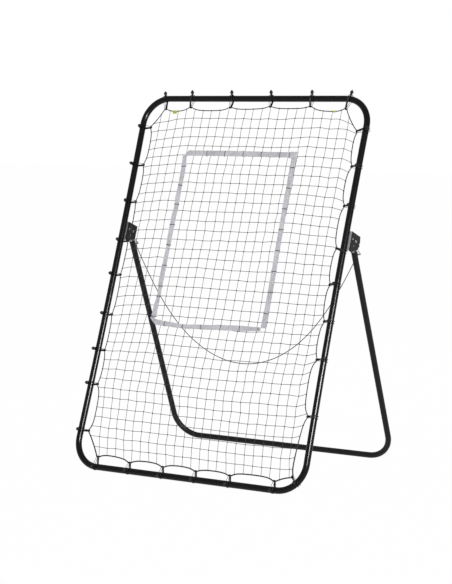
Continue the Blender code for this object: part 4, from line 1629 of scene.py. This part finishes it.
@dataclass
class KnottedNet:
    """The square-mesh net: knotted twines that end on the border cord and pass behind the target's tape."""

    border: list[Vector]
    pitch_across: float = 0.0454
    pitch_up: float = 0.0455
    first_row: float = 0.048
    row_twine: float = 0.00120
    column_twine: float = 0.00100
    knot: float = 0.0032
    end_knot: float = 0.0036
    margin: float = 0.009
    steps: int = 4
    edge_reach: float = 0.09
    # How far rows hang below or above the straight grid near each side, by height, and how their ends tilt
    left_droop: tuple[Pair, ...] = (
        (0.30, 0.0), (0.45, -0.002), (0.60, -0.009), (0.80, -0.013), (1.15, -0.011), (1.40, -0.012),
        (1.65, -0.019))
    right_droop: tuple[Pair, ...] = (
        (0.35, 0.003), (0.50, 0.007), (0.65, 0.005), (0.95, 0.0), (1.20, -0.003), (1.45, -0.005),
        (1.55, -0.0065))
    left_tilt: tuple[Pair, ...] = ((0.60, 0.0), (0.80, -0.009))
    right_tilt: tuple[Pair, ...] = (
        (0.35, 0.015), (0.55, 0.018), (0.65, 0.0075), (1.00, 0.0), (1.20, -0.0075), (1.40, -0.0165))
    # How far columns lean to the right, by height, and how that fades towards the right
    lean_fade: float = 0.6
    lean: tuple[Pair, ...] = (
        (0.05, 0.027), (0.14, 0.013), (0.23, 0.005), (0.32, -0.001), (0.37, -0.008), (0.50, -0.009),
        (0.62, -0.004), (0.75, 0.0), (1.30, -0.003), (1.70, 0.0))
    swells: tuple[Swell, ...] = (
        Swell(-0.005, -0.05, 0.30, 0.45, 0.20), Swell(0.005, -0.13, 0.08, 0.95, 0.10))
    # The right part of the net rises by this much from the second height up
    lift: float = 0.0045
    lift_across: Pair = (0.30, 0.10)
    lift_range: Pair = (0.30, 0.45)
    # How far crossings wander, jitter and billow and twines shake, and the noise that each follows
    wander: float = 0.005
    wander_noise: tuple[Triple, Triple] = ((3.1, 2.2, 1.0), (2.4, 3.4, 8.0))
    jitter: float = 0.0035
    jitter_noise: tuple[Triple, Triple] = ((19.0, 23.0, 4.0), (21.0, 17.0, 6.0))
    billow: float = 0.004
    billow_noise: Triple = (6.0, 6.0, 2.0)
    shake: float = 0.0009
    row_noise: Triple = (2.0, 5.0, 31.0)
    column_noise: Triple = (2.0, 5.0, 57.0)
    # How far behind the frame's plane the net lies at the tape, and how far from the tape that reaches
    tape_depth: float = 0.0020
    tape_reach: float = 0.022
    tape_beyond: float = 0.02
    knot_shape: Triple = (1.12, 0.85, 0.90)
    # How far the knots turn, in degrees, and by how much that differs from one to the next
    knot_turn: Pair = (40.0, 25.0)
    knot_uv: float = 60.0
    columns: range = range(-11, 12)
    rows: range = range(1, 37)
    tape_up: Pair = (0.690, 1.511)
    tape_across: Pair = (-0.317, 0.260)

    def build(self, finishes: Finishes) -> None:
        """Makes the twines and their knots.

        Args:
            finishes: Every finish of the object.
        """
        all_rows = range(self.rows[0] - 1, self.rows[-1] + 2)
        rows = [self._strand([self._node(i, j) for i in self.columns], True, j) for j in self.rows]
        columns = [self._strand([self._node(i, j) for j in all_rows], False, i) for i in self.columns]
        side = Vector((0.0, 1.0, 0.0))
        twines = [swept(line, self.row_twine, 6, side) for line in rows if line]
        twines += [swept(line, self.column_twine, 6, side) for line in columns if line]
        finish_piece("net_twines", joined(twines), ON_FRAME, finishes.twine, ("net",), CORD_CREASE)
        ends = [end for line in rows + columns if line for end in (line[0], line[-1])]
        finish_piece("net_knots", self._knots(ends), ON_FRAME, finishes.knot, (), CORD_CREASE)

    def _node(self, column: int, row: int) -> Vector:
        """Where a row and a column cross, pulled about as the hung net is.

        Args:
            column: The column, from -11 on the left to 11 on the right.
            row: The row, from the bottom.

        Returns:
            The crossing in the frame's plane.
        """
        x = column * self.pitch_across
        up = self.first_row + row * self.pitch_up
        left = _bump(x - self.columns[0] * self.pitch_across, self.edge_reach)
        right = _bump(x - self.columns[-1] * self.pitch_across, self.edge_reach)
        rise = left * read_between(self.left_droop, up)[0] + right * read_between(self.right_droop, up)[0]
        rise += sum(swell.at(x, up) for swell in self.swells)
        rise += self.lift * _bump(x - self.lift_across[0], self.lift_across[1]) * _ramp(up, *self.lift_range)
        wander = [_noise(kind, x, up) for kind in self.wander_noise]
        jitter = [_noise(kind, x, up) for kind in self.jitter_noise]
        shift = (1.0 - self.lean_fade * x) * read_between(self.lean, up)[0]
        spot = Vector((x + shift, up + rise)) + self.wander * Vector(wander) + self.jitter * Vector(jitter)
        return Vector((spot.x, self.billow * _noise(self.billow_noise, x, up), spot.y))

    def _inside(self, point: Vector) -> bool:
        """Whether a point of the frame's plane is inside the border cord by the margin.

        Args:
            point: The point.

        Returns:
            True where a knot has room.
        """
        crossings = 0
        nearest = math.inf
        for a, b in zip(self.border, self.border[1:] + self.border[:1]):
            nearest = min(nearest, math.hypot(a.x - point.x, a.z - point.z))
            if (a.z > point.z) != (b.z > point.z):
                crossings += point.x < a.x + (point.z - a.z) / (b.z - a.z) * (b.x - a.x)
        return crossings % 2 == 1 and nearest > self.margin

    def _edge(self, inner: Vector, way: Vector) -> Vector:
        """Where a twine meets the border cord.

        Args:
            inner: The last knot that it leaves.
            way: The way that it runs from there.

        Returns:
            The point on the border cord.
        """
        best = math.inf
        for a, b in zip(self.border, self.border[1:] + self.border[:1]):
            side = b - a
            cross = way.x * side.z - way.z * side.x
            if abs(cross) < PARALLEL:
                continue
            gap = a - inner
            t = (gap.x * side.z - gap.z * side.x) / cross
            u = (gap.x * way.z - gap.z * way.x) / cross
            if t > 0 and -NEAR_MISS <= u <= 1 + NEAR_MISS:
                best = min(best, t)
        return Vector((inner.x + way.x * best, 0.0, inner.z + way.z * best))

    def _strand(self, nodes: list[Vector], is_row: bool, number: int) -> list[Vector]:
        """One twine from border to border.

        Args:
            nodes: The crossings along it, some of them outside the border.
            is_row: Whether it runs across.
            number: Its row or column number.

        Returns:
            The points of its smooth line, or none if it has no crossing inside.
        """
        inner = [p for p in nodes if self._inside(p)]
        if len(inner) < 2:
            return []
        first = last = inner[-1] - inner[-2]
        if is_row:
            first = Vector((-self.pitch_across, 0.0, read_between(self.left_tilt, inner[0].z)[0]))
            last = Vector((self.pitch_across, 0.0, read_between(self.right_tilt, inner[-1].z)[0]))
        else:
            first = inner[0] - inner[1]
        line = smooth_line([self._edge(inner[0], first), *inner, self._edge(inner[-1], last)], self.steps)
        kind = self.row_noise if is_row else self.column_noise
        for index, point in enumerate(line):
            shake = self.shake * _noise(kind, index, number)
            point += Vector((0.0, shake + self._behind_tape(point), 0.0))
        return line

    def _behind_tape(self, point: Vector) -> float:
        """How far the net steps back to keep behind the tape.

        Args:
            point: A point of the net.

        Returns:
            The step.
        """
        low, high = self.tape_up
        left, right = self.tape_across
        gaps = [math.inf]
        if low - self.tape_beyond < point.z < high + self.tape_beyond:
            gaps += [abs(point.x - left), abs(point.x - right)]
        if left - self.tape_beyond < point.x < right + self.tape_beyond:
            gaps += [abs(point.z - low), abs(point.z - high)]
        return math.exp(-((min(gaps) / self.tape_reach) ** 4)) * (self.tape_depth - point.y)

    def _knots(self, ends: list[Vector]) -> Shape:
        """One small lumpy knot at each crossing inside the border, and one at each twine's end.

        Args:
            ends: The ends of the twines on the border cord.

        Returns:
            Every knot, with a UV map.
        """
        whole = bmesh.new()
        spots = [self._node(i, j) for i in self.columns for j in self.rows]
        knots = [(spot, self.knot) for spot in spots if self._inside(spot)]
        knots += [(end, self.end_knot) for end in ends]
        for index, (spot, size) in enumerate(knots):
            angle = self.knot_turn[0] + self.knot_turn[1] * math.sin(index * 2.6)
            turn = Matrix.Rotation(math.radians(angle), 4, "Y")
            shift = Matrix.Translation(spot + Vector((0.0, self._behind_tape(spot), 0.0)))
            shape = shift @ turn @ Matrix.Diagonal((*self.knot_shape, 1.0))
            bmesh.ops.create_icosphere(whole, subdivisions=1, radius=size, matrix=shape)
        uv = whole.loops.layers.uv.new("UVMap")
        for face in whole.faces:
            for loop in face.loops:
                loop[uv].uv = (loop.vert.co.x * self.knot_uv, loop.vert.co.z)
        return whole


@dataclass(frozen=True)
class TapeRun:
    """One run of tape: its middle and its shown width at places along it, and where thread lashes it down."""

    upright: bool
    stations: tuple[Triple, ...]
    lashings: tuple[float, ...]
    layer: int = 0


@dataclass
class TargetTape:
    """The webbing rectangle: four runs of tape that overlap at the corners, lashed to the net with thread."""

    width: float = 0.0262
    thickness: float = 0.0010
    front: float = -0.0022
    thread: float = 0.0007
    # How far the tape is creased, and the noise that its creases follow
    crease: float = 0.0005
    crease_noise: Triple = (55.0, 55.0, 5.0)
    # How a run that shows less than its width lifts off the net, in the middle and towards its edges
    curl: Pair = (0.20, 0.80)
    # How far each layer of tape lies before the one under it, and a folded corner before them all
    layer_lift: float = 0.0012
    patch_lift: float = 0.0026
    patch_crease: float = 0.0004
    patch_scale: float = 90.0
    # The lashing thread's two turns, how far they slant, and how far behind the net they reach
    turn_apart: float = 0.0012
    turn_slant: float = 0.0012
    turn_behind: float = 0.0030
    turn_squareness: float = 0.35
    turn_rate: float = 40.0
    # How far the thread's middle clears the tape, in radii, and its turns' middle, as a share of the front
    thread_clear: float = 0.6
    turn_centre: float = 0.3
    strip_step: float = 0.006
    runs: tuple[TapeRun, ...] = (
        TapeRun(
            False,
            ((-0.300, 1.5112, 0.0262), (-0.05, 1.5125, 0.0262), (0.15, 1.5112, 0.0240),
             (0.270, 1.5108, 0.0262)),
            (-0.2035, -0.1065, -0.008, 0.088, 0.184, 0.2345),
            1),
        TapeRun(
            True,
            ((0.703, 0.2620, 0.0262), (0.75, 0.2615, 0.0235), (0.84, 0.2640, 0.0255),
             (1.20, 0.2600, 0.0240), (1.25, 0.2582, 0.0232), (1.30, 0.2590, 0.0262),
             (1.36, 0.2585, 0.0228), (1.40, 0.2585, 0.0255), (1.50, 0.2590, 0.0262)),
            (0.770, 0.867, 0.965, 1.061, 1.159, 1.256, 1.354, 1.451)),
        TapeRun(
            True,
            ((0.716, -0.3190, 0.0262), (0.76, -0.3183, 0.0262), (0.82, -0.3140, 0.0190),
             (0.90, -0.3175, 0.0255), (1.00, -0.3160, 0.0225), (1.05, -0.3154, 0.0212),
             (1.10, -0.3175, 0.0255), (1.20, -0.3177, 0.0255), (1.25, -0.3150, 0.0240),
             (1.30, -0.3173, 0.0258), (1.35, -0.3165, 0.0210), (1.40, -0.3165, 0.0250),
             (1.45, -0.3178, 0.0235), (1.499, -0.3230, 0.0225)),
            (0.720, 0.815, 0.864, 0.963, 1.0625, 1.161, 1.260, 1.353, 1.446)),
        TapeRun(
            False,
            ((-0.333, 0.7120, 0.0060), (-0.318, 0.7030, 0.0180), (-0.300, 0.6935, 0.0250),
             (-0.25, 0.6890, 0.0220), (-0.15, 0.6830, 0.0185), (-0.05, 0.6865, 0.0210),
             (0.05, 0.6910, 0.0240), (0.15, 0.6940, 0.0240), (0.225, 0.6965, 0.0170),
             (0.252, 0.6970, 0.0120)),
            (-0.252, -0.153, -0.056, 0.045, 0.143, 0.240)),
    )
    patches: tuple[tuple[Pair, ...], ...] = (
        ((-0.3285, 1.4975), (-0.3030, 1.5245), (-0.2880, 1.5245), (-0.2880, 1.4975)),
        ((0.2365, 1.4950), (0.2720, 1.4940), (0.2725, 1.5270), (0.2365, 1.5260)))

    def build(self, finishes: Finishes) -> None:
        """Makes the runs with their folded corners, and the thread that lashes them to the net.

        Args:
            finishes: Every finish of the object.
        """
        node = "target_webbing"
        strips = [self._run(run) for run in self.runs]
        strips += [self._patch(outline) for outline in self.patches]
        finish_piece(f"{node}_finished", joined(strips), ON_FRAME, finishes.webbing, (node,), SOFT_CREASE)
        loops = joined(self._lashing(run, place) for run in self.runs for place in run.lashings)
        finish_piece("target_lashings", loops, ON_FRAME, finishes.twine, (), CORD_CREASE)

    def _run(self, run: TapeRun) -> Shape:
        """One run of tape as a thin creased strip with its own UV map in metres.

        Args:
            run: The run.

        Returns:
            The closed strip.
        """
        low, high = run.stations[0][0], run.stations[-1][0]
        bm = bmesh.new()
        bmesh.ops.create_grid(bm, x_segments=6, y_segments=int((high - low) / self.strip_step), size=0.5)
        uv = bm.loops.layers.uv.new("UVMap")
        for face in bm.faces:
            for loop in face.loops:
                loop[uv].uv = ((loop.vert.co.x + 0.5) * self.width, (loop.vert.co.y + 0.5) * (high - low))
        for vert in bm.verts:
            place = low + (high - low) * (vert.co.y + 0.5)
            vert.co = self._at(run, place, vert.co.x)
        return self._thickened(bm)

    def _at(self, run: TapeRun, place: float, share: float) -> Vector:
        """A point of a run's sheet.

        Args:
            run: The run.
            place: How far along it, in its own stations' terms.
            share: How far across it, from -0.5 to 0.5.

        Returns:
            The point, lifted off the net where the tape shows less than its width.
        """
        middle, shown = read_between(run.stations, place)
        across, up = (middle + share * shown, place) if run.upright else (place, middle + share * shown)
        crease = self.crease * _noise(self.crease_noise, across, up)
        lift = math.sqrt(max(0.0, 1.0 - (shown / self.width) ** 2)) * self.width
        lift *= self.curl[0] - self.curl[1] * share * share
        lift += self.layer_lift * run.layer
        return Vector((across, self.front - max(0.0, lift) + crease, up))

    def _patch(self, outline: tuple[Pair, ...]) -> Shape:
        """A flat end of tape folded over a corner.

        Args:
            outline: Its corners, across and up the frame's plane.

        Returns:
            The closed patch.
        """
        bm = bmesh.new()
        ring = bmesh.ops.create_circle(bm, cap_ends=True, segments=len(outline), radius=1.0)["verts"]
        for vert, (x, up) in zip(ring, outline):
            vert.co = (x, self.front - self.patch_lift, up)
        bmesh.ops.subdivide_edges(bm, edges=bm.edges[:], cuts=4, use_grid_fill=True)
        uv = bm.loops.layers.uv.new("UVMap")
        for face in bm.faces:
            for loop in face.loops:
                loop[uv].uv = (loop.vert.co.x, loop.vert.co.z)
        for vert in bm.verts:
            vert.co.y += self.patch_crease * noise.noise(vert.co * self.patch_scale)
        return self._thickened(bm)

    def _thickened(self, bm: Shape) -> Shape:
        """Gives a flat strip its thickness, faces outwards.

        Args:
            bm: The strip.

        Returns:
            The same mesh, closed.
        """
        bmesh.ops.recalc_face_normals(bm, faces=bm.faces)
        bmesh.ops.solidify(bm, geom=bm.faces[:], thickness=self.thickness)
        bmesh.ops.recalc_face_normals(bm, faces=bm.faces)
        return bm

    def _lashing(self, run: TapeRun, place: float) -> Shape:
        """Two turns of thread round the tape and the net behind it.

        Args:
            run: The run that it lashes.
            place: Where along the run.

        Returns:
            Both turns.
        """
        middle, shown = read_between(run.stations, place)
        half = shown / 2 + 0.5 * self.thread
        front = self._at(run, place, 0.0).y - self.thickness - self.thread_clear * self.thread
        centre = self.front * self.turn_centre
        slope = self.turn_slant * math.sin(place * self.turn_rate)
        turns = []
        for shift in (-self.turn_apart / 2, self.turn_apart / 2):
            points = []
            for angle in range(0, 360, 18):
                cosine, sine = math.cos(math.radians(angle)), math.sin(math.radians(angle))
                side = math.copysign(abs(cosine) ** self.turn_squareness, cosine) * half
                depth = self.turn_behind if sine > 0 else front
                y = centre + (depth - centre) * abs(sine) ** self.turn_squareness
                drift = place + shift + slope * side / half
                across, up = (middle + side, drift) if run.upright else (drift, middle + side)
                points.append(Vector((across, y, up)))
            turns.append(swept(points, self.thread, 6, None, closed=True))
        return joined(turns)


# Pull cord


@dataclass
class PullCord:
    """The thin cord from ring to ring, hanging behind the net."""

    plane_y: float = 0.07906
    radius: float = 0.0019
    half: tuple[Pair, ...] = (
        (0.000, 0.462), (0.075, 0.469), (0.150, 0.491), (0.220, 0.525), (0.290, 0.573), (0.355, 0.633),
        (0.415, 0.703), (0.468, 0.778), (0.515, 0.855), (0.555, 0.926), (0.580, 0.974), (0.5868, 0.9870))
    # Heights for a passage from the frame's motion to the leg's, which nothing here reads
    blend_range: Pair = (0.50, 0.96)
    # Each turn of the end knot: its height from the cord's end, and its radius
    knot_turns: tuple[Pair, ...] = ((0.0009, 0.0024), (-0.0018, 0.0026), (0.0034, 0.0022))

    def build(self, finishes: Finishes) -> None:
        """Makes the cord and the knot that ties each end to its ring.

        Args:
            finishes: Every finish of the object.
        """
        right = [Vector((across, self.plane_y, height)) for across, height in self.half]
        points = smooth_line([Vector((-p.x, p.y, p.z)) for p in reversed(right[1:])] + right, 8)
        length = sum((b - a).length for a, b in zip(points, points[1:]))
        bm = swept(points, self.radius, 8, Vector((0.0, 1.0, 0.0)))
        cord = finish_piece("pull_cord_finished", bm, Home(), finishes.pull, ("pull_cord",), CORD_CREASE)
        for side in Side:
            name = f"pull_cord_knot_{side.word}"
            home = Home(None, side.latch)
            finish_piece(name, self._knot(side), home, finishes.pull, (), CORD_CREASE)
        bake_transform(cord)
        2 * self.radius
        log.info("pull cord %.3f m long", length)

    def _knot(self, side: Side) -> Shape:
        """Three close turns of the cord at the ring's lowest point.

        Args:
            side: The side of the ring.

        Returns:
            The turns.
        """
        end = Vector((side.value * self.half[-1][0], self.plane_y, self.half[-1][1]))
        turns = []
        for shift, radius in self.knot_turns:
            points = [end + Vector((x, y, shift)) for x, y in arc((0.0, 0.0), radius, 0.0, 360.0, 18)[:-1]]
            turns.append(swept(points, self.radius, 8, Vector((0.0, 0.0, 1.0)), closed=True))
        return joined(turns)


# Studio


@dataclass(frozen=True)
class Lamp:
    """One soft rectangular lamp: its place, the point that it faces, its width and height, and its watts."""

    name: str
    place: Triple
    aim: Triple
    size: Pair
    power: float

    def build(self) -> bpy.types.Object:
        """Makes the lamp.

        Returns:
            The lamp's object.
        """
        data = bpy.data.lights.new(self.name, "AREA")
        data.shape = "RECTANGLE"
        data.size, data.size_y = self.size
        data.energy = self.power
        lamp = bpy.data.objects.new(self.name, data)
        lamp.location = self.place
        lamp.rotation_euler = (Vector(self.aim) - Vector(self.place)).to_track_quat("-Z", "Y").to_euler()
        bpy.context.scene.collection.objects.link(lamp)
        return lamp


@dataclass
class Studio:
    """Floor, world, lamps and the camera at the photograph's angle."""

    camera_at: Triple = (4.021, -6.8018, 1.6806)
    yaw: float = 30.84
    pitch: float = 6.334
    focal_pixels: float = 1736.6
    frame_pixels: float = 584.0
    sensor: float = 36.0
    far_clip: float = 60.0
    floor_half: float = 30.0
    floor_colour: tuple[float, float, float, float] = (0.82, 0.82, 0.82, 1.0)
    white_share: float = 0.985
    world_light: float = 0.55
    # Only the shine lamp shows in reflections, and it lights nothing else
    shine: Lamp = Lamp("shine_lamp", (3.1, -2.34, 1.88), (0.0, -0.25, 0.45), (2.0, 0.6), 340.0)
    lamps: tuple[Lamp, ...] = (
        Lamp("key_lamp", (-2.6, -5.2, 4.6), (0.0, -0.1, 0.8), (3.0, 2.0), 90.0),
        Lamp("back_lamp", (2.5, 4.6, 3.6), (0.0, 0.0, 0.8), (3.0, 2.0), 60.0),
        Lamp("fill_lamp", (3.6, -4.4, 2.6), (0.2, 0.0, 1.0), (1.6, 1.6), 40.0))

    def build(self) -> None:
        """Makes everything that isn't the object."""
        self._camera()
        self._floor()
        self._world()
        for lamp in (*self.lamps, self.shine):
            lit = lamp.build()
            lit.visible_glossy = lamp is self.shine
            lit.visible_diffuse = lamp is not self.shine

    def _camera(self) -> None:
        """The photograph's camera."""
        data = bpy.data.cameras.new("camera")
        data.sensor_width = self.sensor
        data.lens = self.focal_pixels / self.frame_pixels * self.sensor
        data.clip_end = self.far_clip
        camera = bpy.data.objects.new("camera", data)
        camera.location = self.camera_at
        camera.rotation_euler = (math.radians(90.0 - self.pitch), 0.0, math.radians(self.yaw))
        bpy.context.scene.collection.objects.link(camera)
        bpy.context.scene.camera = camera

    def _seen(self, writer: ShaderWriter) -> Signal:
        """Which rays see the floor as plain white.

        Args:
            writer: The writer of the floor's material.

        Returns:
            1 for rays from the camera, and for reflected and refracted ones.
        """
        path = writer.node("ShaderNodeLightPath")
        kinds = ("Is Camera Ray", "Is Glossy Ray", "Is Transmission Ray")
        rays = [Signal(writer, path.outputs[kind]) for kind in kinds]
        return (rays[0] + rays[1] + rays[2]).clamped()

    def _floor(self) -> None:
        """A wide pale floor that reads white and keeps a trace of shadow."""
        bm = bmesh.new()
        bmesh.ops.create_grid(bm, x_segments=1, y_segments=1, size=self.floor_half)
        mesh = bpy.data.meshes.new("floor")
        bm.to_mesh(mesh)
        bm.free()
        writer = ShaderWriter("pale_floor")
        writer.constants(Base_Color=self.floor_colour, Roughness=0.9, Specular_IOR_Level=0.1)
        glow = writer.node("ShaderNodeEmission", inputs={"Color": WHITE, "Strength": 1.0})
        share = self._seen(writer) * self.white_share
        inputs = {0: share, 1: writer.shader.outputs[0], 2: glow.outputs[0]}
        mixed = writer.node("ShaderNodeMixShader", inputs=inputs)
        writer.feed(writer.tree.nodes["Material Output"].inputs["Surface"], mixed.outputs[0])
        mesh.materials.append(writer.material)
        floor = bpy.data.objects.new("floor", mesh)
        bpy.context.scene.collection.objects.link(floor)

    def _world(self) -> None:
        """White to the eye, and a plain soft light to the object."""
        world = bpy.data.worlds.new("studio")
        bpy.context.scene.world = world
        world.use_nodes = True
        writer = NodeWriter(world.node_tree)
        lit = writer.tree.nodes["Background"]
        writer.feed(lit.inputs["Color"], WHITE)
        writer.feed(lit.inputs["Strength"], self.world_light)
        seen = writer.node("ShaderNodeBackground", inputs={"Color": WHITE, "Strength": 1.0})
        by_camera = writer.node("ShaderNodeLightPath").outputs["Is Camera Ray"]
        inputs = {0: by_camera, 1: lit.outputs[0], 2: seen.outputs[0]}
        mixed = writer.node("ShaderNodeMixShader", inputs=inputs)
        writer.feed(writer.tree.nodes["World Output"].inputs["Surface"], mixed.outputs[0])


def main() -> None:
    """Builds the studio and every piece."""
    logging.basicConfig(level=logging.INFO, format="%(name)s %(message)s")
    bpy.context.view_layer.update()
    bpy.context.scene.view_settings.view_transform = "Standard"
    Studio().build()
    finishes = Finishes()
    tubes = TubeFrame()
    tubes.build(finishes)
    RearLeg().build(finishes)
    for side in Side:
        HingeSide(side).build(finishes)
    row = TieRow(tubes)
    row.build(finishes)
    border = BorderCord(row.ties())
    border.build(finishes)
    KnottedNet(border.route()).build(finishes)
    TargetTape().build(finishes)
    PullCord().build(finishes)


if __name__ == "__main__":
    main()
